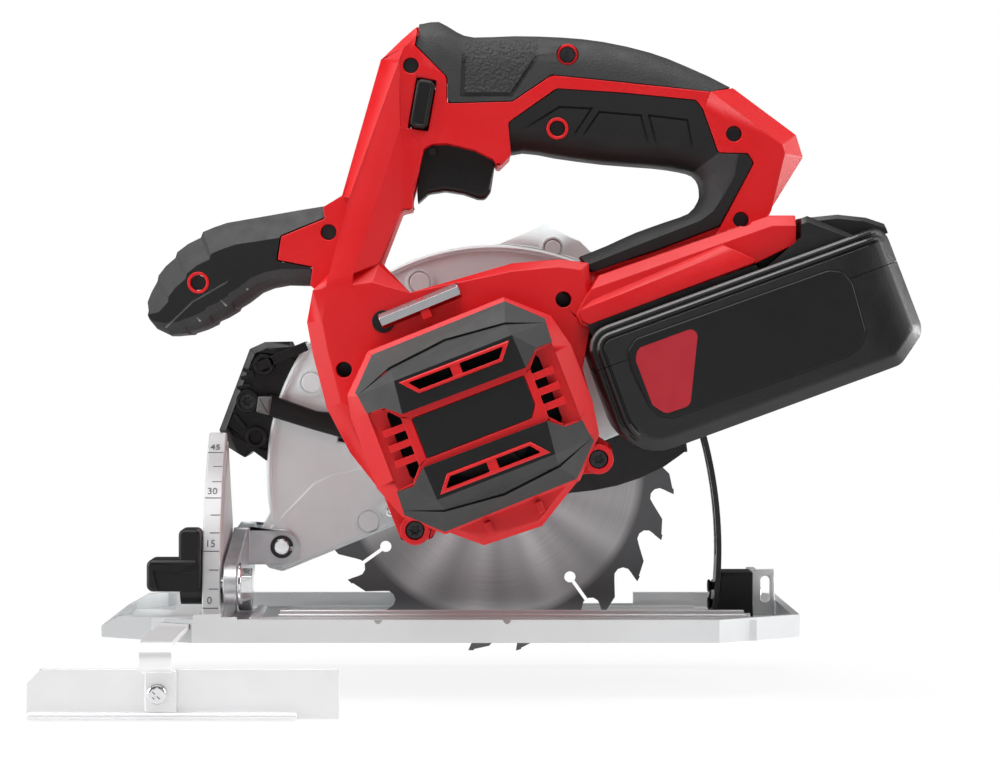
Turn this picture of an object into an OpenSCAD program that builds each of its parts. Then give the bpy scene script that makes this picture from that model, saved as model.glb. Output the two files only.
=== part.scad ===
// Cordless circular saw. +X points to the rear of the saw, -Y to the motor side, +Z up.
// Origin: the sole's underside, straight below the blade's axis, in the blade's plane.

/* [Blade] */
// Radius over the tooth tips
blade_r = 75; // [73:0.5:76]
// Thickness of the steel disc
blade_t = 1.2; // [1:0.1:1.6]
// Width of the carbide teeth
kerf = 1.8; // [1.6:0.1:2.4]
// Number of teeth
teeth = 24; // [16:4:36]
// Radius of the bore
bore_r = 5; // [5:0.5:5]
// Height of the blade's axis over the sole
axis_z = 61.5; // [61:0.5:62]

/* [Sole plate] */
// Thickness of the sole sheet
sole_t = 3; // [2.5:0.5:3]
// Height of the rim
rim_h = 8.7; // [8:0.1:9]
// Near edge of the sole, on the motor side
sole_near = -100; // [-102:1:-98]
// Far edge of the sole
sole_far = 30; // [29:1:32]
// Front end of the sole
sole_front = -152; // [-156:1:-150]
// Rear end of the sole
sole_rear = 118; // [116:1:122]

/* [Bevel] */
// Height of the bevel axis
bevel_z = 10; // [10:1:10]
// Outer radius of the quadrant
quad_r = 84; // [83:1:85]
// Radius of the quadrant's slot
slot_r = 77; // [76.5:0.5:77]
// Angle of the clamp bolt at 0 degrees of bevel
bolt_a = 8; // [7:1:9]

/* [Depth] */
// Depth pivot, X
piv_x = -85.4; // [-86:0.2:-85]
// Depth pivot, Z
piv_z = 31.4; // [31:0.2:32]
// Middle radius of the depth strip
strip_r = 175; // [175:1:175]

/* [Guards] */
// Outer radius of the upper guard
guard_r = 92; // [91:0.5:93]
// Wall of the upper guard
guard_t = 2.5; // [2:0.5:2.5]
// Near face of the upper guard
guard_near = -20; // [-20:1:-20]
// Far face of the upper guard
guard_far = 14; // [14:1:14]
// Outer radius of the lower guard
lower_r = 79.5; // [79:0.5:80]

/* [Drive] */
// Gear module
gear_m = 0.8; // [0.8:0.1:0.8]
// Teeth on the motor pinion
pinion_z = 9; // [9:1:9]
// Teeth on the drive gear
gear_z = 45; // [45:1:45]
// Direction from the spindle to the motor, degrees
motor_dir = 105; // [100:1:110]
// Radius of the motor can
can_r = 22.5; // [22:0.5:23]

/* [Body] */
// Seam between the two handle shells
seam_y = -72; // [-73:1:-71]
// Half width of the handle
grip_w = 19; // [18:0.5:19]
// Wall of the plastic shells
wall = 2.6; // [2.4:0.1:3]
// Thickness of the rubber overmould
rubber_t = 2.4; // [2:0.2:2.6]
// Near end of the handle shells, where the motor cap starts
body_near = -104; // [-105:1:-104]
// Near face of the motor cap
cap_near = -132; // [-134:1:-130]

/* [Battery] */
// Slope of the battery rail, degrees
pack_a = 20; // [20:1:20]
// Near side of the battery
pack_near = -118; // [-119:1:-117]
// Far side of the battery
pack_far = -46; // [-46:1:-45]

/* [Hidden] */
$fn = 64;

centre_d = gear_m * (pinion_z + gear_z) / 2;
motor_x = centre_d * cos(motor_dir);
motor_z = axis_z + centre_d * sin(motor_dir);
grip_near = seam_y - grip_w;
grip_far = seam_y + grip_w;
gap = 0.3;
run = 0.05;
pin_r = 3;
bevel_pin_r = 4;
bolt_y = -slot_r * cos(bolt_a);
bolt_z = bevel_z + slot_r * sin(bolt_a);
slide_t = 2;
bar_x0 = -127.5;
bar_x1 = -116;
bar_z0 = 5;
fence_y = -160;
fence_low = -21.5;
quad_x0 = -112.6;
quad_x1 = -105.6;
bracket_x0 = -104.6;
bracket_x1 = -99;
strip_y0 = -42;
strip_y1 = -28;
clamp_a = 24;
lever_a = 164;
lever_r0 = 58;
lever_r1 = 97;
arm_y0 = -26.5;
arm_y1 = -21.5;
hub_r = 17;
case_y0 = -53;
holder_y0 = -28;
gear_y0 = -40;
gear_y1 = -32;
lock_a = 205;
lock_y = -29.7;
pack_u0 = 71;
pack_u1 = 193;
pack_v0 = 47;
pack_v1 = 99;
rail_v = 117.3;
rail_u0 = 84;
rail_u1 = 142;
rail_near = -110;
rail_far = -50;
latch_y = (pack_near + pack_far) / 2;
trigger_x = -24;
trigger_z = 187;

// Outlines of the housing, in X and Z.
grip_top = [[-28, 236.5], [-21.5, 237.3], [-14.5, 233.3], [-8, 231.3], [7.5, 231.8],
    [25.6, 231.3], [41.8, 229.6], [59.7, 225.5], [73.6, 220.2], [91.5, 211.6],
    [115.7, 193.6], [118.4, 185], [105.7, 164.5]];
rail_line = [[113.5, 162], [111.7, 150.5], [99, 143.4], [45.7, 122.6], [34, 124],
    [30, 124], [24, 121]];
body_low = [[28, 112], [33, 104], [37, 90], [38, 79], [44, 75], [44.5, 68], [39, 64.5], [31, 64], [16, 55],
    [-18, 50], [-24, 39.5], [-35.5, 39], [-42, 56],
    [-55, 72], [-63.9, 89], [-69.2, 109.6], [-71.4, 121.4], [-68.5, 133.5]];
column_front = [[-66, 150], [-65.6, 166], [-58, 171], [-43.6, 222.7]];
hand_hole = [[-35.7, 165], [-44.7, 143.8], [-32.2, 132.1], [6.3, 143.8], [33, 147],
    [58.3, 158], [75, 163.5], [79.5, 169], [79.5, 174.5], [76.3, 179.4],
    [61.7, 181.7], [23.3, 185.7], [12.3, 187.7], [6.7, 185.3], [-2, 183],
    [-16, 187], [-28, 184], [-31.8, 165]];
red_web = [[-66, 143.5], [-70, 142.8], [-83, 145.4], [-83.4, 153.7], [-65, 162]];
front_grip = [[-66, 166.4], [-86.9, 162.7], [-103, 159.8], [-114, 156], [-123.9, 148.3],
    [-130.7, 140.4], [-135, 129], [-135, 125.4], [-124.2, 115.3], [-110.2, 119.6],
    [-98.3, 126.1], [-90.5, 133.6], [-81.1, 136.1], [-71.8, 135.7], [-70, 142.6],
    [-83, 145.4], [-83.4, 153.7], [-66, 161.8]];
top_zone = [[-30.6, 227.4], [-28, 240], [90, 240], [91.5, 211.6], [82.2, 209.6],
    [48.3, 213.3], [21.7, 216], [6.7, 205.9], [-18.4, 205.2], [-18.4, 215.2]];
under_zone = [[5.1, 197.9], [23.6, 210.9], [48.3, 209.3], [76.9, 206.5], [79.5, 202.9],
    [85.4, 186.4], [96.6, 186.1], [98.9, 182.4], [86, 158.1], [65.7, 150.3],
    [38, 140.5], [32, 144], [34, 150], [74, 167], [74, 176], [8, 182]];
cap_outline = [[-47.7, 110.7], [-29.7, 120.9], [-16, 126.4], [2.8, 130.8], [21.6, 124.1],
    [25.7, 116.1], [31.3, 108.5], [35.7, 95.5], [38.8, 79.1], [31.3, 61.9],
    [25.7, 58.5], [18.3, 46.2], [-1, 39.3], [-14.7, 42.7], [-34, 49.6],
    [-36.6, 58.5], [-42.1, 57.1], [-45.5, 63.3], [-50.3, 75.6], [-55.3, 94.8]];
cover_outline = [[-92.6, 114], [-98.8, 111.2], [-111.2, 78.2], [-107.4, 71.2],
    [-100.5, 67.2], [-97.3, 69.9], [-88, 63], [-60, 90], [-72.2, 109.1],
    [-73.8, 114.9], [-82, 112], [-83, 114.2]];
guard_front = [[-90, 46], [-95.5, 36], [-95.5, 28], [-91, 22.5], [-85.4, 21.1],
    [-78.4, 24], [-60, 31.5], [-60, 60]];
lower_lip = [[3, 43.5], [31.4, 52.5], [41.2, 53.6], [50.6, 55.5], [59.6, 58.5],
    [69.4, 63.1], [76.6, 68.2]];
screw_spots = [[-32.1, 219.7], [-57.1, 103.6], [91.3, 193.6], [94, 160.7],
    [25.8, 130.1], [-63.5, 156], [-113.3, 136.7], [23.9, 195.6], [27.8, 224]];
cap_ears = [[38.5, 70.3], [-30, 43.8], [28, 119], [-52, 105]];

// Extrudes an X-Z outline from Y = y0 to y1.
module slab(y0, y1) {
    translate([0, y1, 0]) rotate([90, 0, 0]) linear_extrude(y1 - y0) children();
}

// Extrudes a Y-Z outline from X = x0 to x1.
module xslab(x0, x1) {
    translate([x0, 0, 0]) rotate([90, 0, 90]) linear_extrude(x1 - x0) children();
}

// Round bar along Y at (x, z).
module ybar(x, z, y0, y1, r) {
    translate([x, y1, z]) rotate([90, 0, 0]) cylinder(h = y1 - y0, r = r);
}

// Round bar along X at (y, z).
module xbar(y, z, x0, x1, r) {
    translate([x0, y, z]) rotate([0, 90, 0]) cylinder(h = x1 - x0, r = r);
}

// Box given by its two corners.
module box(a, b) {
    translate(a) cube(b - a);
}

// Wedge between two angles about (cx, cz), wide enough to cut anything of radius r.
module wedge(cx, cz, r, a0, a1) {
    steps = max(2, ceil((a1 - a0) / 30));
    polygon(concat([[cx, cz]],
        [for (i = [0:steps]) let (a = a0 + (a1 - a0) * i / steps)
            [cx + 1.3 * r * cos(a), cz + 1.3 * r * sin(a)]]));
}

// Ring sector about (cx, cz).
module arc_band(cx, cz, r0, r1, a0, a1) {
    intersection() {
        difference() {
            translate([cx, cz]) circle(r1, $fn = 128);
            translate([cx, cz]) circle(r0, $fn = 128);
        }
        wedge(cx, cz, r1, a0, a1);
    }
}

// Puts children into the battery's own frame: x along the rail, y square to it.
module pack_frame() {
    rotate([0, -pack_a, 0]) children();
}

// ---- Sole and bevel scale ----

module sole_outline() {
    polygon([[sole_front, -76], [-115, sole_near], [85, sole_near], [sole_rear, -76],
        [sole_rear, sole_far - 8], [sole_rear - 8, sole_far], [-138, sole_far],
        [sole_front, sole_far - 14]]);
}

module sole_inset() {
    polygon([[sole_front + 4, -73.5], [-114, sole_near + 3], [84, sole_near + 3],
        [sole_rear - 3, -74.5], [sole_rear - 3, sole_far - 9], [sole_rear - 9, sole_far - 5],
        [-136, sole_far - 5], [sole_front + 4, sole_far - 16]]);
}

module base_plate() color([0.8, 0.8, 0.82]) difference() {
    union() {
        linear_extrude(sole_t) sole_outline();
        linear_extrude(rim_h) difference() {
            sole_outline();
            sole_inset();
        }
        // Ribs along the motor side, and one each side of the blade opening
        for (y = [-91, -80, -69, -58])
            box([-94, y, 0], [100, y + 3, y < -75 ? 7.8 : 4.6]);
        box([-94, 16, 0], [84, 18, 4]);
        // Two loops that hold the guide bar
        box([-131, -93, 0], [-113, -84, bar_z0 + slide_t + 2]);
        box([-131, 8, 0], [-113, 16, bar_z0 + slide_t + 2]);
        // Raised front corner of the near rim
        box([-114.5, sole_near, 0], [-104, sole_near + 3, 10.6]);
        box([-104, sole_near, 0], [-98, sole_near + 3, 9.6]);
    }
    // Blade and guard opening, wide enough for 45 degrees of bevel
    box([-84, -30.5, -1], [88, 14.5, 20]);
    // The rim is open behind the blade
    box([-41, sole_far - 6, 4], [59, sole_far + 1, 20]);
    box([bar_x0 - 0.2, -120, bar_z0 - 0.15], [bar_x1 + 0.2, 18, bar_z0 + slide_t + 0.15]);
    // Notches that sight the cutting line
    for (x = [-44.4, 4.5]) translate([x, sole_near - 1, rim_h]) rotate([-90, 0, 0])
        cylinder(h = 6, r = 1.5);
    // Sloping front lip
    translate([sole_front, 0, 4.4]) rotate([0, -28, 0])
        translate([-20, -120, 0]) cube([33, 180, 20]);
}

module quad_outline() {
    arc_pts = [for (a = [-4:4.5:56.8])
        [-quad_r * cos(a), bevel_z + quad_r * sin(a)]];
    difference() {
        polygon(concat(arc_pts, [[-37.6, 70.2], [-18, 41], [-18, 22], [9, 22],
            [13, 16], [13, sole_t], [-quad_r + 0.4, sole_t]]));
        arc_band(0, bevel_z, slot_r - 2.8, slot_r + 2.8, 124, 174.2);
    }
}

module bevel_quadrant() color([0.83, 0.83, 0.84]) difference() {
    xslab(quad_x0, quad_x1) quad_outline();
    xbar(0, bevel_z, quad_x0 - 1, quad_x1 + 1, bevel_pin_r + run);
}

module rear_ear() color([0.75, 0.75, 0.77]) difference() {
    union() {
        xslab(104.4, 108) polygon([[-14, sole_t], [-14, 18], [-8, 21], [6, 21], [9, 17],
            [9, sole_t]]);
        box([104.4, -14, sole_t], [114.4, -12, 21.5]);
    }
    xbar(0, bevel_z, 100, 120, bevel_pin_r + run);
    for (z = [10, 17]) ybar(110.6, z, -16, -10, 1.8);
    box([108.8, -16, 10], [112.4, -10, 17]);
}

// ---- Parallel guide ----

module guide_bar() color([0.85, 0.85, 0.87]) {
    difference() {
        union() {
            box([bar_x0, -167, bar_z0], [bar_x1, 3, bar_z0 + slide_t]);
            box([bar_x0, -169, -3.5], [bar_x1, -167, bar_z0 + slide_t]);
            box([bar_x0, -167, -3.5], [bar_x1, fence_y - 2, -1.5]);
            box([bar_x0, fence_y - 2, -19], [bar_x1, fence_y, -1.5]);
        }
        ybar(-121.7, -12.3, -170, -150, 2);
    }
}

module fence_plate() color([0.88, 0.88, 0.9]) difference() {
    union() {
        slab(fence_y, fence_y + 1.6) polygon([[-169, -8], [-164, -3.4], [-57, -3.4],
            [-56.5, fence_low + 1], [-57, fence_low], [-168, fence_low], [-169, -14]]);
        box([-166, fence_y - 6, fence_low], [-73, fence_y, fence_low + 2.4]);
        translate([-73, fence_y - 3, fence_low]) cylinder(h = 2.4, r = 3);
    }
    ybar(-121.7, -12.3, -170, -150, 2);
}

module fence_screw() color([0.7, 0.7, 0.72]) {
    ybar(-121.7, -12.3, fence_y - 2, fence_y + 4, 2);
    ybar(-121.7, -12.3, fence_y - 4, fence_y - 2, 3.6);
    ybar(-121.7, -12.3, fence_y + 1.6, fence_y + 4, 3.6);
}

// ---- Bevel frame ----

module front_bracket() color([0.72, 0.72, 0.74]) difference() {
    union() {
        xslab(bracket_x0, bracket_x1) {
            polygon([[bolt_y, bolt_z - 8], [bolt_y, bolt_z + 8], [-24.5, 38.5],
                [18.5, 38.5], [18.5, 24], [5.6, 13.3], [-6.4, 8.6]]);
            translate([bolt_y, bolt_z]) circle(8);
            translate([0, bevel_z]) circle(6.5);
        }
        for (y = [guard_near - 4.5, guard_far + 0.5]) {
            box([bracket_x0, y, piv_z - 7.2], [piv_x, y + 4, piv_z + 7.2]);
            ybar(piv_x, piv_z, y, y + 4, 7.2);
        }
    }
    ybar(piv_x, piv_z, -40, 40, pin_r);
    xbar(bolt_y, bolt_z, -120, -80, 2.5);
    xbar(0, bevel_z, -120, -80, bevel_pin_r);
}

module depth_pivot_pin() color([0.6, 0.6, 0.62]) {
    ybar(piv_x, piv_z, guard_near - 7, guard_far + 4.5, pin_r);
    difference() {
        ybar(piv_x, piv_z, guard_near - 5.6, guard_near - 4.6, 4.2);
        ybar(piv_x, piv_z, guard_near - 8, guard_near, pin_r);
        box([piv_x, guard_near - 8, piv_z - 1.2], [piv_x + 8, guard_near, piv_z + 1.2]);
    }
}

module bevel_pins() color([0.6, 0.6, 0.62]) {
    xbar(0, bevel_z, quad_x0 - 1, bracket_x1 + 0.5, bevel_pin_r);
    xbar(0, bevel_z, 91, 110, bevel_pin_r);
}

module bevel_bolt() color([0.65, 0.65, 0.67]) {
    xbar(bolt_y, bolt_z, -127, bracket_x1 + 4, 2.5);
    xbar(bolt_y, bolt_z, bracket_x1, bracket_x1 + 1.4, 8);
    difference() {
        translate([bracket_x1 + 1.4, bolt_y, bolt_z]) rotate([0, 90, 0])
            cylinder(h = 4.2, r = 6, $fn = 6);
        xbar(bolt_y, bolt_z, -127, bracket_x1 + 4, 2.5);
    }
}

module depth_strip() color([0.3, 0.3, 0.32]) difference() {
    slab(strip_y0, strip_y1)
        arc_band(piv_x, piv_z, strip_r - 1, strip_r + 1, -8.5, 36.5);
    // Slot for the clamp bolt
    slab(-37.4, -32.6) arc_band(piv_x, piv_z, strip_r - 5, strip_r + 5, -0.8, 34.6);
    for (z = [9.5, 16.5]) xbar(-35, z, 80, 98, 1.6);
}

module strip_foot() color([0.07, 0.07, 0.08]) {
    difference() {
        union() {
            xslab(86, 103.2) {
                polygon([[strip_y0, 4], [strip_y0, 22.3], [-21.5, 22.3], [-21.5, 17],
                    [0, bevel_z + 6.5], [0, bevel_z - 6.4], [-6, 4]]);
                translate([0, bevel_z]) circle(6.5);
            }
        }
        ybar(piv_x, piv_z, -60, 30, strip_r + 1, $fn = 128);
        xbar(0, bevel_z, 80, 110, bevel_pin_r);
        for (z = [9.5, 16.5]) xbar(-35, z, 80, 98, 1.6);
    }
    // Rivets through the strip
    for (z = [9.5, 16.5]) {
        xbar(-35, z, 86.5, 98, 1.6);
        xbar(-35, z, 85.4, 86.6, 2.6);
    }
}

module bevel_lever() color([0.08, 0.08, 0.09]) difference() {
    union() {
        xbar(bolt_y, bolt_z, -121, quad_x0 - gap, 8);
        box([-134, bolt_y - 11, bolt_z - 5], [-121, bolt_y + 8, bolt_z + 8]);
        box([-123.5, bolt_y - 10, bolt_z + 3], [quad_x0 - gap, bolt_y + 6, bolt_z + 20]);
    }
    xbar(bolt_y, bolt_z, -128, -100, 2.5 + run);
}

// ---- Guards ----

module guard_outline(r) {
    difference() {
        union() {
            translate([0, axis_z]) circle(r, $fn = 128);
            polygon(guard_front);
        }
        polygon([[-78.4, 24], [-85.4, 15], [-85.4, -60], [160, -60], [160, 120.8]]);
        polygon([[-85.4, 21.1], [-78.4, 24], [-85.4, 10], [-120, 10], [-120, 20],
            [-91, 19]]);
    }
}

chute = [[-6, 150], [20.9, 161.7], [34.6, 155.2], [56, 134.5], [20, 120]];
chute_in = [[-2, 146], [21, 158.4], [31.6, 153.5], [60, 165], [60, 137], [50, 128],
    [30, 110], [0, 110]];

module upper_guard() color([0.74, 0.74, 0.75]) difference() {
    union() {
        slab(guard_near, guard_far) guard_outline(guard_r);
        slab(guard_near + 0.3, guard_far - 0.3) polygon(chute);
    }
    // Hollow, open below
    slab(guard_near + guard_t, guard_far - guard_t) {
        translate([0, axis_z]) circle(lower_r + 1.5, $fn = 128);
        intersection() {
            translate([0, axis_z]) circle(guard_r - guard_t, $fn = 128);
            polygon([[-92, 120], [-92, 64], [-72, 50], [-72, 20], [120, 20], [120, 160],
                [-92, 160]]);
        }
        polygon(chute_in);
    }
    // Blade side is open round the spindle
    ybar(0, axis_z, 5, 20, 34);
    ybar(0, axis_z, -25, -10, hub_r);
    ybar(piv_x, piv_z, -30, 30, pin_r + run);
    // Slot for the retracting lever
    slab(-25, -10) arc_band(0, axis_z, 57.6, 64.4, 17, 169);
}

module guard_cover() color([0.1, 0.1, 0.11]) difference() {
    slab(guard_near - 1, guard_far - 2) difference() {
        polygon(cover_outline);
        translate([0, axis_z]) circle(guard_r, $fn = 128);
    }
    slab(guard_near + 2, guard_far - 5) difference() {
        polygon([[-93, 110], [-97, 108], [-107.5, 79], [-104, 74], [-99, 71],
            [-90, 76], [-83, 100], [-78, 109]]);
        translate([0, axis_z]) circle(guard_r + 2, $fn = 128);
    }
    for (p = [[-92.6, 104.5], [-95.9, 75.2]]) ybar(p.x, p.y, -24, 14, 2.8);
    ybar(-99.4, 90.2, -24, -10, 1.7);
}

module cover_screw() color([0.5, 0.5, 0.52]) {
    ybar(-99.4, 90.2, guard_near - 1, guard_near + 6, 1.7);
    ybar(-99.4, 90.2, guard_near - 3, guard_near - 1, 3.9);
}

module lower_guard() color([0.08, 0.08, 0.09]) {
    arc_pts = [for (a = [6:8:166]) [(lower_r - 0.7) * cos(a), axis_z + (lower_r - 0.7) * sin(a)]];
    difference() {
        union() {
            slab(-13, -11.5) {
                polygon(concat(lower_lip, arc_pts, [[-16, 58]]));
                translate([0, axis_z]) circle(24);
            }
            slab(-12.9, 10) arc_band(0, axis_z, lower_r - 1.6, lower_r, 5.6, 166.4);
            slab(8.5, 9.9) arc_band(0, axis_z, 50, lower_r - 1, 6.2, 165.8);
        }
        ybar(0, axis_z, -20, -5, hub_r + run);
        ybar(61 * cos(lever_a), axis_z + 61 * sin(lever_a), -20, -10, 2.4);
    }
}

module guard_lever() color([0.08, 0.08, 0.09]) translate([0, 0, axis_z])
    rotate([0, -lever_a, 0]) {
        slab(arm_y0, arm_y1) polygon([[lever_r0, -3.4], [lever_r1 - 20, -4.6],
            [lever_r1, -4.6], [lever_r1, 5], [lever_r1 - 20, 4.8], [lever_r0 + 4, 3.4],
            [lever_r0, 3.4]]);
        ybar(61, 0, arm_y1, -11.5, 2.4);
    }

module return_spring() color([0.7, 0.7, 0.72])
    for (y = [-16.2, -14.4]) translate([0, y, axis_z]) rotate([90, 0, 0])
        rotate_extrude() translate([hub_r + 1.1, 0]) circle(0.7, $fn = 16);

// ---- Gearing and spindle ----

function inv_pt(rb, r, a0) = let (t = sqrt(pow(r / rb, 2) - 1), a = t * 180 / PI - atan(t))
    [r, a0 - a];

// Spur gear outline with involute flanks, centred on the origin, one tooth on the X axis.
module gear_outline(z, shift, slack) {
    pa = 25;
    rp = gear_m * z / 2;
    rb = rp * cos(pa);
    ra = rp + gear_m * (0.95 + shift);
    rf = rp + gear_m * (shift - 1.25);
    half = 90 / z + 2 * shift * tan(pa) * 90 / (PI * z) * 2 - slack / rp * 90 / PI;
    inv_p = tan(pa) * 180 / PI - pa;
    r0 = max(rb * 1.002, rf);
    flank = [for (i = [0:4]) inv_pt(rb, r0 + (ra - r0) * i / 4, half + inv_p)];
    side = concat([[rf, flank[0][1] + 0.5]], flank);
    polygon([for (k = [0:z - 1]) for (s = [-1, 1]) for (i = [0:5])
        let (p = s < 0 ? side[i] : side[5 - i], a = 360 * k / z + s * p[1])
        [p[0] * cos(a), p[0] * sin(a)]]);
}

module drive_gear() color([0.55, 0.55, 0.57]) difference() {
    union() {
        translate([0, 0, axis_z]) slab(gear_y0, gear_y1)
            rotate(motor_dir + 180 / gear_z) gear_outline(gear_z, -0.25, 0.12);
        ybar(0, axis_z, gear_y1, holder_y0 - 0.4, 12);
    }
    ybar(0, axis_z, -60, 0, 6);
    // Holes that take the spindle lock's pin
    for (a = [0:90:270]) translate([0, lock_y, axis_z]) rotate([0, -lock_a - a, 0])
        translate([7, 0, 0]) rotate([0, 90, 0]) cylinder(h = 8, r = 1.7);
}

module spindle() color([0.6, 0.6, 0.62]) difference() {
    union() {
        ybar(0, axis_z, -48, -40.5, 4);
        ybar(0, axis_z, -40.5, -10, 6);
        ybar(0, axis_z, -10, 0.4, bore_r);
    }
    ybar(0, axis_z, -16, 1, 3);
}

module blade_flanges() color([0.5, 0.5, 0.52]) {
    difference() {
        union() {
            ybar(0, axis_z, -9.8, -3.6, 8.5);
            ybar(0, axis_z, -3.6, -blade_t / 2, 14);
        }
        ybar(0, axis_z, -20, 2, bore_r);
    }
    difference() {
        ybar(0, axis_z, blade_t / 2, 3.8, 14);
        ybar(0, axis_z, -2, 5, 3.1);
    }
}

module blade_bolt() color([0.35, 0.35, 0.37]) {
    ybar(0, axis_z, -15, 3.8, 3);
    difference() {
        ybar(0, axis_z, 3.8, 9.6, 6);
        translate([0, 11, axis_z]) rotate([90, 0, 0]) cylinder(h = 4.6, r = 2.9, $fn = 6);
    }
}

tooth_a = -7.8;
gullet_r = 3.7;
gullet_c = 5.8;

// Outline of one tooth, from its tip round the gullet to the next tooth's shoulder.
function tooth_pts(a) = let (c = blade_r - gullet_c, g = a - 1.6)
    concat([[blade_r * cos(a), blade_r * sin(a)]],
        [for (t = [60:35:235]) [c * cos(g) + gullet_r * cos(g + t),
            c * sin(g) + gullet_r * sin(g + t)]],
        [[(blade_r - 2.5) * cos(a - 8.5), (blade_r - 2.5) * sin(a - 8.5)]]);

module blade() color([0.78, 0.78, 0.8]) translate([0, 0, axis_z]) {
    pitch = 360 / teeth;
    difference() {
        slab(-blade_t / 2, blade_t / 2) difference() {
            polygon([for (k = [0:teeth - 1]) each tooth_pts(tooth_a - k * pitch)]);
            circle(bore_r);
            for (k = [0:3]) rotate(tooth_a - 1.6 - 3 * pitch + 90 * k) {
                translate([54.3, 0]) circle(2.3);
                translate([54.3, -0.7]) square([20, 1.4]);
            }
        }
    }
    // Carbide tips, wider than the disc
    for (k = [0:teeth - 1]) rotate([0, k * pitch - tooth_a, 0]) difference() {
        slab(-kerf / 2, kerf / 2)
            polygon([[blade_r, 0], [71.6, 1], [71.9, 2.6], [blade_r - 0.35, 2.2]]);
        box([60, -blade_t / 2, -5], [80, blade_t / 2, 5]);
    }
}

module bearing_holder() color([0.6, 0.6, 0.62]) difference() {
    union() {
        slab(holder_y0, guard_near) {
            translate([0, axis_z]) circle(22);
            translate([motor_x, motor_z]) circle(26);
        }
        ybar(0, axis_z, guard_near, -10.8, hub_r);
    }
    ybar(0, axis_z, holder_y0 - 1, guard_near, 14);
    ybar(0, axis_z, -22, 0, 8.8);
    lock_boss(5.6, 15, 40);
}

case_flange = [[-28, 98], [-22, 108], [29, 118.4], [44, 118], [47, 108], [52, 79],
    [40, 73], [10, 90]];

module gear_case() color([0.66, 0.66, 0.68]) difference() {
    union() {
        slab(case_y0, holder_y0) {
            translate([0, axis_z]) circle(22);
            translate([motor_x, motor_z]) circle(26);
        }
        slab(-33, -29) polygon(case_flange);
        lock_boss(5.6, 21, 34);
    }
    ybar(0, axis_z, gear_y0 - 1, holder_y0 + 1, 20);
    ybar(motor_x, motor_z, gear_y0 - 1, holder_y0 + 1, 6);
    ybar(motor_x, motor_z, case_y0 - 1, gear_y0, 4.2);
    ybar(0, axis_z, -48, gear_y0, 11);
    lock_boss(2 + run, 15, 40);
    lock_boss(4, 30, 40);
}

// Round bar along the spindle lock's line.
module lock_boss(r, r0, r1) {
    translate([0, lock_y, axis_z]) rotate([0, -lock_a, 0]) translate([r0, 0, 0])
        rotate([0, 90, 0]) cylinder(h = r1 - r0, r = r);
}

module spindle_lock() color([0.08, 0.08, 0.09]) {
    difference() {
        lock_boss(1.6, 12.4, 20);
        ybar(0, axis_z, -60, 0, 12.4);
    }
    lock_boss(2, 20, 38.5);
    lock_boss(5, 38.5, 43);
}

module ring(x, z, y0, y1, r0, r1) difference() {
    ybar(x, z, y0, y1, r1);
    ybar(x, z, y0 - 1, y1 + 1, r0);
}

module spindle_bearings() color([0.7, 0.7, 0.72]) {
    ring(0, axis_z, holder_y0, guard_near, 6 + run, 14);
    ring(0, axis_z, -48, -41, 4 + run, 11);
}

// ---- Motor ----

module motor_bearings() color([0.7, 0.7, 0.72]) {
    ring(motor_x, motor_z, -60, -55, 2.5 + run, 8);
    ring(motor_x, motor_z, -120, -115, 2.5 + run, 8);
}

module motor_can() color([0.35, 0.35, 0.37]) difference() {
    union() {
        ring(motor_x, motor_z, -111, -55, can_r - 1.8, can_r);
        ybar(motor_x, motor_z, -55, case_y0, can_r);
        ring(motor_x, motor_z, -60, -55, 8, 11);
    }
    ybar(motor_x, motor_z, -130, -40, 4.2);
}

module magnets() color([0.2, 0.2, 0.22])
    for (a = [25, 205]) slab(-100, -68)
        arc_band(motor_x, motor_z, 16.4, can_r - 1.8, a, a + 130);

module brush_holder() color([0.15, 0.15, 0.16]) difference() {
    union() {
        ybar(motor_x, motor_z, -115, -111, can_r);
        ring(motor_x, motor_z, -120, -115, 8, 10.5);
    }
    ybar(motor_x, motor_z, -125, -100, 4.2);
}

module carbon_brushes() color([0.12, 0.12, 0.12])
    for (s = [-1, 1]) box([motor_x + (s > 0 ? 8.3 : -15), -111, motor_z - 2.5],
        [motor_x + (s > 0 ? 15 : -8.3), -104, motor_z + 2.5]);

module rotor_shaft() color([0.65, 0.65, 0.67]) {
    ybar(motor_x, motor_z, -127, gear_y0 - 1, 2.5);
    translate([motor_x, 0, motor_z]) slab(gear_y0 - 1, gear_y1 + 1)
        rotate(motor_dir + 180) gear_outline(pinion_z, 0.25, 0.12);
}

module armature() color([0.6, 0.35, 0.2]) {
    ring(motor_x, motor_z, -99, -69, 2.5, 15.8);
    ring(motor_x, motor_z, -69, -65, 2.5, 12);
    ring(motor_x, motor_z, -103, -99, 2.5, 12);
    ring(motor_x, motor_z, -110.6, -103, 2.5, 8);
}

module cooling_fan() color([0.1, 0.1, 0.1]) {
    ring(motor_x, motor_z, -127, -120.8, 2.5, 5);
    ring(motor_x, motor_z, -122.5, -121.5, 4.5, 19);
    for (a = [0:40:320]) translate([motor_x, -127, motor_z]) rotate([0, a, 0])
        translate([4.6, 0, -0.6]) cube([13.9, 4.6, 1.2]);
}

// ---- Housing ----

module outer_outline() {
    difference() {
        polygon(concat(grip_top, rail_line, body_low, column_front));
        polygon(hand_hole);
    }
}

module front_web() {
    polygon([[-64, 133.5], [-71, 136], [-81.1, 136.4], [-90.5, 134], [-98.3, 128],
        [-110, 122], [-124, 118], [-132, 126], [-128, 139], [-114, 152], [-86, 159],
        [-64, 163]]);
}

// Parts of the outline that the rubber covers.
module grip_zones() {
    polygon(top_zone);
    polygon(under_zone);
}

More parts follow.
